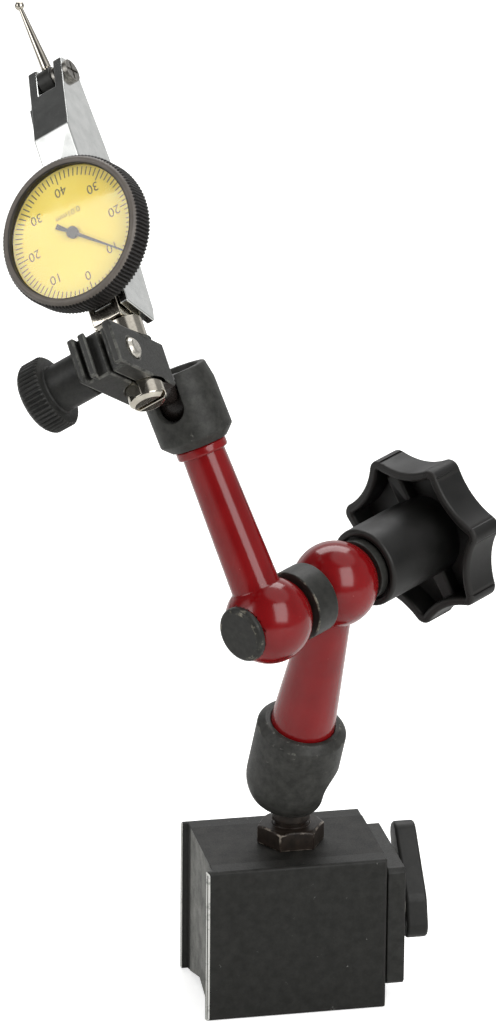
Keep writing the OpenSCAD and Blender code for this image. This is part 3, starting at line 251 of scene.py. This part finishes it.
def blackened_steel(name, dark, light, bare, mottle_mm, rough, flecked=0.5):
    """Steel with a thin black oxide: satin, mottled in the bath, bright where an edge has rubbed through."""
    made = bpy.data.materials.new(name)
    made.use_nodes = True
    tree = made.node_tree
    tree.nodes.clear()
    where = add(tree, "ShaderNodeTexCoord", {}).outputs["Object"]
    mottle = add(tree, "ShaderNodeTexNoise", {"Vector": where, "Scale": 1000 / mottle_mm, "Detail": 5,
                                              "Roughness": 0.66})
    # Ground steel has a finer grain; at 0.35 mm it is drawn coarse enough to show.
    grain = add(tree, "ShaderNodeTexNoise", {"Vector": where, "Scale": 1000 / 0.35, "Detail": 3})
    nicks = add(tree, "ShaderNodeTexNoise", {"Vector": where, "Scale": 1000 / 2.4, "Detail": 6,
                                             "Roughness": 0.72})
    tone = add(tree, "ShaderNodeMapRange", {"Value": mottle.outputs["Fac"], "From Min": 0.34,
                                            "From Max": 0.68})
    oxide = add(tree, "ShaderNodeMix", {"data_type": "RGBA", 0: tone.outputs["Result"], 6: linear(dark),
                                        7: linear(light)})
    edge = add(tree, "ShaderNodeAttribute", {"attribute_name": "worn"})
    rubbed = add(tree, "ShaderNodeMath", {"operation": "MULTIPLY_ADD", 0: edge.outputs["Fac"], 1: 0.62,
                                          2: nicks.outputs["Fac"]})
    on_edge = add(tree, "ShaderNodeMapRange", {"Value": rubbed.outputs[0], "From Min": 0.84,
                                               "From Max": 1.06})
    fleck = add(tree, "ShaderNodeMapRange", {"Value": nicks.outputs["Fac"], "From Min": 0.67,
                                             "From Max": 0.77, "To Max": flecked})
    bright = add(tree, "ShaderNodeMath", {"operation": "MAXIMUM", 0: on_edge.outputs["Result"],
                                          1: fleck.outputs["Result"]})
    colour = add(tree, "ShaderNodeMix", {"data_type": "RGBA", 0: bright.outputs[0], 6: oxide.outputs[2],
                                         7: linear(bare)})
    gloss = add(tree, "ShaderNodeMapRange", {"Value": grain.outputs["Fac"], "From Min": 0.3, "From Max": 0.7,
                                             "To Min": rough - 0.07, "To Max": rough + 0.09})
    metal = add(tree, "ShaderNodeMapRange", {"Value": bright.outputs[0], "To Min": 0.06, "To Max": 0.55})
    relief = add(tree, "ShaderNodeBump", {"Height": grain.outputs["Fac"], "Strength": 0.12,
                                          "Distance": 0.05 * MM})
    skin = add(tree, "ShaderNodeBsdfPrincipled", {"Base Color": colour.outputs[2],
                                                  "Roughness": gloss.outputs["Result"],
                                                  "Metallic": metal.outputs["Result"],
                                                  "Specular IOR Level": 0.25,
                                                  "Normal": relief.outputs["Normal"]})
    add(tree, "ShaderNodeOutputMaterial", {"Surface": skin.outputs[0]})
    return made


def lip_wear_and_highlight(at):
    """The left ends of the poles are painted bright, partly rubbed steel and partly a painted highlight; the
    other edges are rubbed only here and there.
    """
    return 0.95 if at.x < -19.3 else 0.32


def off_the_seam(at):
    """The ground joint between a pole and the core stays sharp; only the outer edges are broken."""
    return at.x < -19.3 or abs(at.y) > seam_mm + 0.5


seam_mm = max(abs(corner.y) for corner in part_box("core_block")) / MM
# Bath-blackened ground steel: satin charcoal, bright along the left lips as wear and painted highlight; the
# core's open end is scuffed.
pole_steel = blackened_steel("blackened_ground_steel", "#1e1e1c", "#2a2a28", "#dededa", 2.2, 0.48)
core_steel = blackened_steel("blackened_core_steel", "#121210", "#2a2926", "#8f8f88", 3.4, 0.55)
core_end_steel = blackened_steel("scuffed_core_steel", "#474744", "#7c7c77", "#b0b0aa", 4.2, 0.5)
for node in ("front_pole", "rear_pole"):
    finish_with(softened(node, 0.24, lip_wear_and_highlight, 1, 32, off_the_seam), pole_steel)
core = finish_with(softened("core_block", 0.02), core_steel, core_end_steel)
for face in core.data.polygons:
    face.material_index = 1 if face.normal.x < -0.9 else 0

# Magnet switch. A stamped and blackened end plate held by four countersunk screws, a turned spindle with
# its magnet in a brass bush behind the plate, and a cast lever fixed by one slotted screw.
# Blackened plate is a shade shinier than the ground blocks; the lacquered casting is smooth and even.
plate_steel = blackened_steel("blackened_plate_steel", "#222220", "#31312f", "#8e8e88", 2.0, 0.44)
cast_black = blackened_steel("black_lacquered_casting", "#232322", "#2d2d2b", "#6e6e69", 4.0, 0.42, 0.25)


def bare_metal(name, dark, light, rough, streak_mm, dents=0.05):
    """Plated or polished metal: tone and gloss drift slightly in streaks left by the tool or the bath."""
    made = bpy.data.materials.new(name)
    made.use_nodes = True
    tree = made.node_tree
    tree.nodes.clear()
    where = add(tree, "ShaderNodeTexCoord", {}).outputs["Object"]
    streak = add(tree, "ShaderNodeTexNoise", {"Vector": where, "Scale": 1000 / streak_mm, "Detail": 5,
                                              "Roughness": 0.6})
    cloud = add(tree, "ShaderNodeTexNoise", {"Vector": where, "Scale": 1000 / 4.0, "Detail": 2})
    tone = add(tree, "ShaderNodeMapRange", {"Value": streak.outputs["Fac"], "From Min": 0.3,
                                            "From Max": 0.7})
    colour = add(tree, "ShaderNodeMix", {"data_type": "RGBA", 0: tone.outputs["Result"], 6: linear(dark),
                                         7: linear(light)})
    gloss = add(tree, "ShaderNodeMapRange", {"Value": cloud.outputs["Fac"], "From Min": 0.3, "From Max": 0.7,
                                             "To Min": rough * 0.8, "To Max": rough * 1.25})
    relief = add(tree, "ShaderNodeBump", {"Height": streak.outputs["Fac"], "Strength": dents,
                                          "Distance": 0.04 * MM})
    skin = add(tree, "ShaderNodeBsdfPrincipled", {"Base Color": colour.outputs[2], "Metallic": 1.0,
                                                  "Roughness": gloss.outputs["Result"],
                                                  "Normal": relief.outputs["Normal"]})
    add(tree, "ShaderNodeOutputMaterial", {"Surface": skin.outputs[0]})
    return made


# Turned steel and brass: grey and yellow metal with fine tool streaks; the cast magnet is dull and dark.
turned_steel = bare_metal("turned_steel", "#6f6d68", "#9a9791", 0.3, 0.5)
brass = bare_metal("turned_brass", "#9a7c3c", "#c2a25a", 0.28, 0.5)
magnet_alloy = bare_metal("cast_magnet_alloy", "#3f3f42", "#55555a", 0.5, 0.9)
finish_with(softened("switch_plate", 0.3), plate_steel)
finish_with(softened("switch_lever", 0.7, 0.2), cast_black)
for node in ("plate_screws", "lever_screw", "switch_spindle"):
    finish_with(softened(node, 0.12), turned_steel)
finish_with(frame["nodes"]["magnet_rotor"], magnet_alloy)
finish_with(frame["nodes"]["rotor_bush"], brass)

# Ball stud. A turned steel stud with a ball on top, screwed into the core block and locked by a thin hex
# nut; both are oil-blackened, which leaves a brown cast and rubs off on the nut's corners.
# Oil black: darker and shinier than bath black, with a brown cast.
oil_black = blackened_steel("oil_blackened_steel", "#1b1612", "#2e2620", "#a0968a", 1.8, 0.36)
finish_with(softened("jam_nut", 0.3, 0.62), oil_black)
finish_with(softened("ball_stud", 0.2), oil_black)

# Lower arm. A red enamelled steel arm with a ball-shaped hub; a notched cup is pressed over its foot and
# holds the stud's ball against a brass seat, which the hidden push rod drives.
# Phosphated steel: a soft dark grey with pale worn specks.
cup_steel = blackened_steel("phosphated_steel", "#292927", "#3d3d3a", "#8f8f86", 2.0, 0.47, 0.7)
# Stoved enamel: a deep red with a hard gloss, a faint orange peel and a few specks of dust under it.
enamel = bpy.data.materials.new("red_stoved_enamel")
enamel.use_nodes = True
tree = enamel.node_tree
tree.nodes.clear()
where = add(tree, "ShaderNodeTexCoord", {}).outputs["Object"]
cloud = add(tree, "ShaderNodeTexNoise", {"Vector": where, "Scale": 1000 / 9, "Detail": 3})
peel = add(tree, "ShaderNodeTexNoise", {"Vector": where, "Scale": 1000 / 1.6, "Detail": 1.5})
dust = add(tree, "ShaderNodeTexVoronoi", {"Vector": where, "Scale": 1000 / 3.2})
tone = add(tree, "ShaderNodeMapRange", {"Value": cloud.outputs["Fac"], "From Min": 0.3, "From Max": 0.7})
red = add(tree, "ShaderNodeMix", {"data_type": "RGBA", 0: tone.outputs["Result"], 6: linear("#70060a"),
                                  7: linear("#800c10")})
spot = add(tree, "ShaderNodeMapRange", {"Value": dust.outputs["Distance"], "From Min": 0.03,
                                        "From Max": 0.06, "To Min": 0.3, "To Max": 0.0})
red = add(tree, "ShaderNodeMix", {"data_type": "RGBA", 0: spot.outputs["Result"], 6: red.outputs[2],
                                  7: linear("#b9605c")})
gloss = add(tree, "ShaderNodeMapRange", {"Value": cloud.outputs["Fac"], "To Min": 0.12, "To Max": 0.22})
relief = add(tree, "ShaderNodeBump", {"Height": peel.outputs["Fac"], "Strength": 0.08,
                                      "Distance": 0.03 * MM})
skin = add(tree, "ShaderNodeBsdfPrincipled", {"Base Color": red.outputs[2], "IOR": 1.52,
                                              "Roughness": gloss.outputs["Result"], "Coat Weight": 0.1,
                                              "Coat Roughness": 0.06, "Specular IOR Level": 0.35,
                                              "Normal": relief.outputs["Normal"]})
add(tree, "ShaderNodeOutputMaterial", {"Surface": skin.outputs[0]})
finish_with(softened("lower_arm", 0.5), enamel)
finish_with(softened("lower_cup", 0.3, 0.5, 3, 30), cup_steel)
finish_with(frame["nodes"]["lower_seat"], brass)
finish_with(frame["nodes"]["lower_push_rod"], turned_steel)

# Elbow. The clamp bolt's plain head, a spacer ring and a thrust collar of blackened steel carry the two
# hubs; the hollow star knob is moulded in black phenolic over a brass insert, and draws the bolt through.
# Moulded phenolic: near black and dull, cloudy where it filled the mould, paler along rubbed edges. Its
# filler is finer than the 0.3 mm drawn here, which is as coarse as it needs to be to show.
phenolic = bpy.data.materials.new("moulded_black_phenolic")
phenolic.use_nodes = True
tree = phenolic.node_tree
tree.nodes.clear()
where = add(tree, "ShaderNodeTexCoord", {}).outputs["Object"]
cloud = add(tree, "ShaderNodeTexNoise", {"Vector": where, "Scale": 1000 / 6, "Detail": 4})
fine = add(tree, "ShaderNodeTexNoise", {"Vector": where, "Scale": 1000 / 0.3, "Detail": 2})
edge = add(tree, "ShaderNodeAttribute", {"attribute_name": "worn"})
tone = add(tree, "ShaderNodeMapRange", {"Value": cloud.outputs["Fac"], "From Min": 0.3, "From Max": 0.7})
black = add(tree, "ShaderNodeMix", {"data_type": "RGBA", 0: tone.outputs["Result"], 6: linear("#0f0f0e"),
                                    7: linear("#171615")})
rub = add(tree, "ShaderNodeMapRange", {"Value": edge.outputs["Fac"], "To Max": 0.5})
black = add(tree, "ShaderNodeMix", {"data_type": "RGBA", 0: rub.outputs["Result"], 6: black.outputs[2],
                                    7: linear("#34322f")})
gloss = add(tree, "ShaderNodeMapRange", {"Value": cloud.outputs["Fac"], "From Min": 0.3, "From Max": 0.7,
                                         "To Min": 0.40, "To Max": 0.54})
relief = add(tree, "ShaderNodeBump", {"Height": fine.outputs["Fac"], "Strength": 0.08,
                                      "Distance": 0.03 * MM})
skin = add(tree, "ShaderNodeBsdfPrincipled", {"Base Color": black.outputs[2], "IOR": 1.55,
                                              "Roughness": gloss.outputs["Result"],
                                              "Specular IOR Level": 0.3,
                                              "Normal": relief.outputs["Normal"]})
add(tree, "ShaderNodeOutputMaterial", {"Surface": skin.outputs[0]})
finish_with(softened("star_knob", 0.8, 0.5, 4), phenolic)
# Oiled black steel: dark and slightly green, with pale scratches and worn rims.
ring_steel = blackened_steel("oiled_black_steel", "#242422", "#32322f", "#9c9788", 1.4, 0.42, 0.8)
finish_with(softened("clamp_bolt", 0.4, 0.5), ring_steel)
finish_with(softened("spacer_ring", 0.35, 0.55), ring_steel)
finish_with(softened("thrust_collar", 0.25), ring_steel)
finish_with(frame["nodes"]["knob_insert"], brass)

# Upper arm. The same enamelled steel with a bead turned under its cup; the cup's notch lets the clamp's
# stem fold over sideways, and the seat and push rod work as in the lower arm.
finish_with(softened("upper_arm", 0.5), enamel)
finish_with(softened("upper_cup", 0.3, 0.36, 3, 30), cup_steel)
finish_with(frame["nodes"]["upper_seat"], brass)
finish_with(frame["nodes"]["upper_push_rod"], turned_steel)

# Clamp. A steel ball pinned on a stem, two milled and blackened jaws with a dovetail across their ends, and
# a nickel-plated thumb screw, peened over at the far jaw, with a turned and knurled black steel head.
# Milled black steel: smooth charcoal faces with paler edges.
jaw_steel = blackened_steel("blackened_milled_steel", "#272725", "#343432", "#6c6c67", 1.6, 0.4, 0.2)
# Bright nickel: a warm mirror with soft plating streaks.
nickel = bare_metal("bright_nickel_plate", "#b8b2a6", "#d2ccc0", 0.13, 1.6)
# Blackened ball steel: nearly black and shiny, so that it shows a thin highlight in the cup's notch.
ball_black = blackened_steel("blackened_ball_steel", "#1a1614", "#272220", "#5f5751", 1.4, 0.28, 0.1)
finish_with(softened("upper_ball", 0.15), ball_black)
finish_with(softened("jaw_stem", 0.2), ball_black)
finish_with(softened("fixed_jaw", 0.5, 0.7), jaw_steel)
finish_with(softened("moving_jaw", 0.5, 0.7), jaw_steel)
# Turned black steel: dull, with its ridges picked out by the light.
turned_black = blackened_steel("blackened_turned_steel", "#232322", "#30302e", "#5d5d58", 1.6, 0.44, 0.2)
turn_way = Vector(joints["thumb_turn"]["axis"])
turn_pin = Vector(joints["thumb_turn"]["pos_m"])
corners = [v.co - turn_pin for v in frame["nodes"]["thumb_knob"].data.vertices]
widest = max(corners, key=lambda c: (c - turn_way * c.dot(turn_way)).length)
ends = [c.dot(turn_way) for c in corners]
inward = turn_way if widest.dot(turn_way) < (min(ends) + max(ends)) / 2 else -turn_way
knob_along = min(c.dot(inward) for c in corners) / MM
knob_long = max(c.dot(inward) for c in corners) / MM - knob_along
head_r = (widest - turn_way * widest.dot(turn_way)).length / MM
head_high, collar_r, bore_r, grooves, groove_deep = 5.5, 5.05, 2.55, 46, 0.5
groove_form = (0.0, 0.0, 0.35, 1.0, 1.0, 0.35)
knob_rim = ((0.0, 0.0, 0), (head_r - 1.35, 0.0, 0), (head_r - 0.9, 0.3, 0), (head_r - 0.35, 0.85, 0.4),
            (head_r, 1.4, 1),
            (head_r, head_high - 0.55, 1), (head_r - 0.45, head_high - 0.1, 0), (head_r - 0.7, head_high, 0),
            (collar_r + 0.35, head_high, 0), (collar_r, head_high + 0.3, 0), (collar_r, knob_long - 0.2, 0),
            (collar_r - 0.2, knob_long, 0), (bore_r, knob_long, 0), (bore_r, head_high - 2.0, 0),
            (0.0, head_high - 2.0, 0))
work = bmesh.new()
rings = []
for step in range(grooves * len(groove_form)):
    turn = 2 * math.pi * step / (grooves * len(groove_form))
    cut = groove_form[step % len(groove_form)] * groove_deep
    rings.append([work.verts.new(((r - share * cut) * math.cos(turn), (r - share * cut) * math.sin(turn), z))
                  for r, z, share in knob_rim])
for here, ahead in zip(rings, rings[1:] + rings[:1]):
    for i in range(len(knob_rim) - 1):
        work.faces.new((here[i], ahead[i], ahead[i + 1], here[i + 1]))
bmesh.ops.remove_doubles(work, verts=work.verts, dist=0.001)
bmesh.ops.recalc_face_normals(work, faces=work.faces)
knob_frame = inward.to_track_quat("Z", "Y").to_matrix().to_4x4()
knob_frame.translation = turn_pin + inward * knob_along * MM
bmesh.ops.transform(work, verts=work.verts, matrix=knob_frame @ Matrix.Scale(MM, 4))
finish_with(as_piece(work, "thumb_knob", frame["nodes"]["thumb_knob"]["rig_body"]), turned_black)
# Peened nickel: hammered and scratched, so it breaks the light up.
peened_nickel = bare_metal("peened_nickel", "#a9a59b", "#d8d4cb", 0.26, 0.7, 0.9)
finish_with(softened("clamp_screw", 0.25), peened_nickel)

# Indicator body. A satin chromed casting with a thin side cover, a dovetail foot held by a nickel clip on
# the turned stem, and a fork at the head with two cross-slotted pivot screws.
# Satin chrome: bright and cool, mirroring the white ground and the dark room in flat patches.
chrome = bare_metal("satin_chrome_plate", "#c8cac8", "#d9dad8", 0.17, 3.0)
for node, width in (("indicator_stem", 0.2), ("dovetail_clamp", 0.35), ("dovetail_screw", 0.1)):
    finish_with(softened(node, width), nickel)
# Worn chrome: greyer than the body, which marks the thin cover off from it.
cover_chrome = bare_metal("worn_chrome_edge", "#8b8d8b", "#a5a6a4", 0.25, 2.0)
for node, width, plate in (("indicator_body", 0.3, chrome), ("side_cover", 0.1, cover_chrome),
                           ("cover_screws", 0.1, cover_chrome), ("pivot_screws", 0.06, turned_steel)):
    finish_with(softened(node, width, above=14), plate)

# Dial. A thin plate in yellow stoved paint with its scale printed in dark brown ink: eighty lines and the
# balanced numerals 0 to 40 both ways, all read with the stem up. It is set in the bezel and turns with it.
dial_top_mm = 3.3
# Stoved paint: a strong, even yellow with a slight sheen. Its grain is drawn coarser than real, to show.
dial_paint = bpy.data.materials.new("yellow_dial_paint")
dial_paint.use_nodes = True
tree = dial_paint.node_tree
tree.nodes.clear()
where = add(tree, "ShaderNodeTexCoord", {}).outputs["Object"]
cloud = add(tree, "ShaderNodeTexNoise", {"Vector": where, "Scale": 1000 / 12, "Detail": 3})
fine = add(tree, "ShaderNodeTexNoise", {"Vector": where, "Scale": 1000 / 0.25, "Detail": 2})
tone = add(tree, "ShaderNodeMapRange", {"Value": cloud.outputs["Fac"], "From Min": 0.3, "From Max": 0.7})
yellow = add(tree, "ShaderNodeMix", {"data_type": "RGBA", 0: tone.outputs["Result"], 6: linear("#fbdb3c"),
                                     7: linear("#ffe656")})
gloss = add(tree, "ShaderNodeMapRange", {"Value": fine.outputs["Fac"], "To Min": 0.42, "To Max": 0.6})
relief = add(tree, "ShaderNodeBump", {"Height": fine.outputs["Fac"], "Strength": 0.05,
                                      "Distance": 0.01 * MM})
skin = add(tree, "ShaderNodeBsdfPrincipled", {"Base Color": yellow.outputs[2], "IOR": 1.5,
                                              "Roughness": gloss.outputs["Result"],
                                              "Normal": relief.outputs["Normal"]})
add(tree, "ShaderNodeOutputMaterial", {"Surface": skin.outputs[0]})
finish_with(frame["nodes"]["dial_plate"], dial_paint)

work = bmesh.new()
lines, scale_r, line_mm, label_line_mm, line_wide = 80, 14.2, 1.75, 2.5, 0.24
for step in range(lines):
    turn = 2 * math.pi * step / lines
    out = Vector((math.sin(turn), -math.cos(turn), 0))
    aside = Vector((out.y, -out.x, 0)) * line_wide / 2
    inner = out * (scale_r - (label_line_mm if step % 10 == 0 else line_mm))
    work.faces.new([work.verts.new(p) for p in (inner - aside, inner + aside, out * scale_r + aside,
                                                out * scale_r - aside)])
numeral_r, numeral_mm, cap_share = 10.1, 2.0, 0.7
words = [(label, numeral_mm, Vector((math.sin(math.radians(45 * k)), -math.cos(math.radians(45 * k)), 0))
          * numeral_r) for k, label in enumerate(("0", "10", "20", "30", "40", "30", "20", "10"))]
words.append(("0.01mm", 1.3, Vector((0, 4.6, 0))))
for label, high, spot in words:
    letters = bpy.data.curves.new("numeral", "FONT")
    letters.body, letters.size = label, high / cap_share
    letters.align_x, letters.align_y = "CENTER", "CENTER"
    shape = bpy.data.objects.new("numeral", letters)
    bpy.context.scene.collection.objects.link(shape)
    flat = bpy.data.meshes.new_from_object(shape.evaluated_get(bpy.context.evaluated_depsgraph_get()))
    flat.transform(Matrix.Translation(spot) @ Matrix.Rotation(math.pi, 4, "Z"))
    work.from_mesh(flat)
    bpy.data.objects.remove(shape)
    bpy.data.curves.remove(letters)
    bpy.data.meshes.remove(flat)
print_lift = 0.012
bmesh.ops.transform(work, verts=work.verts, matrix=dial_frame @ Matrix.Scale(MM, 4) @ Matrix.Translation(
    (0, 0, dial_top_mm + print_lift)))
bmesh.ops.recalc_face_normals(work, faces=work.faces)
scale_mesh = bpy.data.meshes.new("dial_scale_print")
work.to_mesh(scale_mesh)
work.free()
dial_scale = bpy.data.objects.new("dial_scale_print", scale_mesh)
bpy.context.scene.collection.objects.link(dial_scale)
# Printing ink: brown black and matte, thinner in places so that the yellow warms it.
ink = bpy.data.materials.new("brown_black_printing_ink")
ink.use_nodes = True
tree = ink.node_tree
tree.nodes.clear()
where = add(tree, "ShaderNodeTexCoord", {}).outputs["Object"]
thin = add(tree, "ShaderNodeTexNoise", {"Vector": where, "Scale": 1000 / 0.4, "Detail": 3})
tone = add(tree, "ShaderNodeMapRange", {"Value": thin.outputs["Fac"], "From Min": 0.35, "From Max": 0.7})
brown = add(tree, "ShaderNodeMix", {"data_type": "RGBA", 0: tone.outputs["Result"], 6: linear("#3a2e16"),
                                    7: linear("#6b5726")})
gloss = add(tree, "ShaderNodeMapRange", {"Value": thin.outputs["Fac"], "To Min": 0.5, "To Max": 0.7})
skin = add(tree, "ShaderNodeBsdfPrincipled", {"Base Color": brown.outputs[2],
                                              "Roughness": gloss.outputs["Result"]})
add(tree, "ShaderNodeOutputMaterial", {"Surface": skin.outputs[0]})
finish_with(dial_scale, ink)
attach(dial_scale, frame["nodes"]["dial_plate"]["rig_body"])

# Pointer. A blanked steel hand, blued dark, pressed by its round hub on the arbor of the pinion.
# Blued steel: dark brown black and flat, to read clearly against the yellow.
blued_steel = blackened_steel("blued_steel", "#2a2320", "#3a302b", "#5a4c44", 1.0, 0.5, 0.2)
finish_with(softened("pointer", 0.05, 0.2, 2), blued_steel)

# Bezel. A ring moulded in black glass-filled nylon; its side is ridged for the fingers, and its smooth
# front slopes in to the lip that holds the crystal; that front is painted brownish grey, a painted sheen.
ridges, ridge_deep = 124, 0.5
ridge_form = (0.0, 0.08, 0.8, 1.0, 0.8, 0.08)
rim = ((14.8, 0.0, 0), (15.8, 0.0, 0), (16.15, 0.12, 0.6), (16.4, 0.45, 1), (16.4, 4.75, 1),
       (16.28, 5.0, 0.9), (16.05, 5.25, 0.35), (15.85, 5.5, 0), (15.6, 5.8, 0), (15.3, 5.94, 0),
       (14.95, 5.94, 0), (14.6, 5.8, 0), (14.4, 5.6, 0), (14.3, 4.98, 0), (14.8, 4.94, 0))
work = bmesh.new()
turns = ridges * len(ridge_form)
rings = []
for step in range(turns):
    turn = 2 * math.pi * step / turns
    cut = ridge_form[step % len(ridge_form)] * ridge_deep
    rings.append([work.verts.new(((r - share * cut) * math.cos(turn), (r - share * cut) * math.sin(turn), z))
                  for r, z, share in rim])
for step in range(turns):
    here, ahead = rings[step], rings[(step + 1) % turns]
    for i in range(len(rim)):
        k = (i + 1) % len(rim)
        work.faces.new((here[i], ahead[i], ahead[k], here[k]))
bmesh.ops.recalc_face_normals(work, faces=work.faces)
bmesh.ops.transform(work, verts=work.verts, matrix=dial_frame @ Matrix.Scale(MM, 4))
bezel = as_piece(work, "bezel", frame["nodes"]["bezel"]["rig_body"])
# Glass-filled nylon: dull black in the ridges; the smooth front is the same black with a brownish grey
# sheen painted into its colour. The 0.3 mm grain is drawn coarser than the fibres, so that it shows.
nylon = []
for name, low, high, dull in (("moulded_black_nylon", "#1a1817", "#272422", 0.46),
                              ("black_nylon_painted_sheen", "#5b554f", "#6b645d", 0.4)):
    made = bpy.data.materials.new(name)
    made.use_nodes = True
    tree = made.node_tree
    tree.nodes.clear()
    where = add(tree, "ShaderNodeTexCoord", {}).outputs["Object"]
    cloud = add(tree, "ShaderNodeTexNoise", {"Vector": where, "Scale": 1000 / 3, "Detail": 4})
    fine = add(tree, "ShaderNodeTexNoise", {"Vector": where, "Scale": 1000 / 0.3, "Detail": 2})
    tone = add(tree, "ShaderNodeMapRange", {"Value": cloud.outputs["Fac"], "From Min": 0.3, "From Max": 0.7})
    grey = add(tree, "ShaderNodeMix", {"data_type": "RGBA", 0: tone.outputs["Result"], 6: linear(low),
                                       7: linear(high)})
    gloss = add(tree, "ShaderNodeMapRange", {"Value": fine.outputs["Fac"], "From Min": 0.3, "From Max": 0.7,
                                             "To Min": dull - 0.05, "To Max": dull + 0.07})
    relief = add(tree, "ShaderNodeBump", {"Height": fine.outputs["Fac"], "Strength": 0.06,
                                          "Distance": 0.02 * MM})
    skin = add(tree, "ShaderNodeBsdfPrincipled", {"Base Color": grey.outputs[2], "IOR": 1.53,
                                                  "Roughness": gloss.outputs["Result"],
                                                  "Specular IOR Level": 0.4,
                                                  "Normal": relief.outputs["Normal"]})
    add(tree, "ShaderNodeOutputMaterial", {"Surface": skin.outputs[0]})
    nylon.append(made)
finish_with(bezel, *nylon)
# The smooth front faces take the paler nylon, whose brownish grey is a painted sheen.
smooth_from, smooth_to = 6, 11
for count, face in enumerate(bezel.data.polygons):
    face.material_index = 1 if smooth_from <= count % len(rim) < smooth_to else 0

# Crystal. A flat disc of cast acrylic, clear and polished, snapped in behind the bezel's lip; it lets the
# lamps through to the dial and mirrors the low soft box, with faint wipe marks in its gloss.
acrylic = bpy.data.materials.new("clear_acrylic")
acrylic.use_nodes = True
tree = acrylic.node_tree
tree.nodes.clear()
ray = add(tree, "ShaderNodeLightPath", {})
through = add(tree, "ShaderNodeMath", {"operation": "MAXIMUM", 0: ray.outputs["Is Shadow Ray"],
                                       1: ray.outputs["Is Diffuse Ray"]})
where = add(tree, "ShaderNodeTexCoord", {}).outputs["Object"]
wipe = add(tree, "ShaderNodeTexNoise", {"Vector": where, "Scale": 1000 / 6, "Detail": 5})
gloss = add(tree, "ShaderNodeMapRange", {"Value": wipe.outputs["Fac"], "From Min": 0.3, "From Max": 0.7,
                                         "To Min": 0.01, "To Max": 0.035})
clear = add(tree, "ShaderNodeBsdfPrincipled", {"Base Color": linear("#fdfdfb"), "IOR": 1.49,
                                               "Transmission Weight": 1.0,
                                               "Roughness": gloss.outputs["Result"]})
open_way = add(tree, "ShaderNodeBsdfTransparent", {"Color": (1, 1, 1, 1)})
pane = add(tree, "ShaderNodeMixShader", {0: through.outputs[0], 1: clear.outputs[0], 2: open_way.outputs[0]})
add(tree, "ShaderNodeOutputMaterial", {"Surface": pane.outputs[0]})
work = bmesh.new()
pane_r, pane_low, pane_high, pane_edge = 14.72, 4.56, 4.9, 0.06
disc = [(0.0, pane_low), (pane_r - pane_edge, pane_low), (pane_r, pane_low + pane_edge),
        (pane_r, pane_high - pane_edge), (pane_r - pane_edge, pane_high), (0.0, pane_high)]
section = [work.verts.new((r, 0, z)) for r, z in disc]
bmesh.ops.spin(work, geom=section + [work.edges.new(pair) for pair in zip(section, section[1:])], steps=128,
               axis=(0, 0, 1), cent=(0, 0, 0), angle=2 * math.pi, use_merge=True)
bmesh.ops.remove_doubles(work, verts=work.verts, dist=0.001)
bmesh.ops.recalc_face_normals(work, faces=work.faces)
bmesh.ops.transform(work, verts=work.verts, matrix=dial_frame @ Matrix.Scale(MM, 4))
finish_with(as_piece(work, "crystal", frame["nodes"]["crystal"]["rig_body"]), acrylic)

# Stylus. A polished hard metal ball on a tapered shank, screwed into a blackened barrel that turns between
# the pivots; the sector lever behind it drives the crown gear and the pointer's pinion.
finish_with(softened("stylus_barrel", 0.15), jaw_steel)
finish_with(frame["nodes"]["stylus"], nickel)
finish_with(frame["nodes"]["sector_lever"], turned_steel)
for node in ("crown_gear", "pointer_arbor"):
    finish_with(frame["nodes"][node], brass)
finish_with(frame["nodes"]["bezel_spring"], turned_steel)
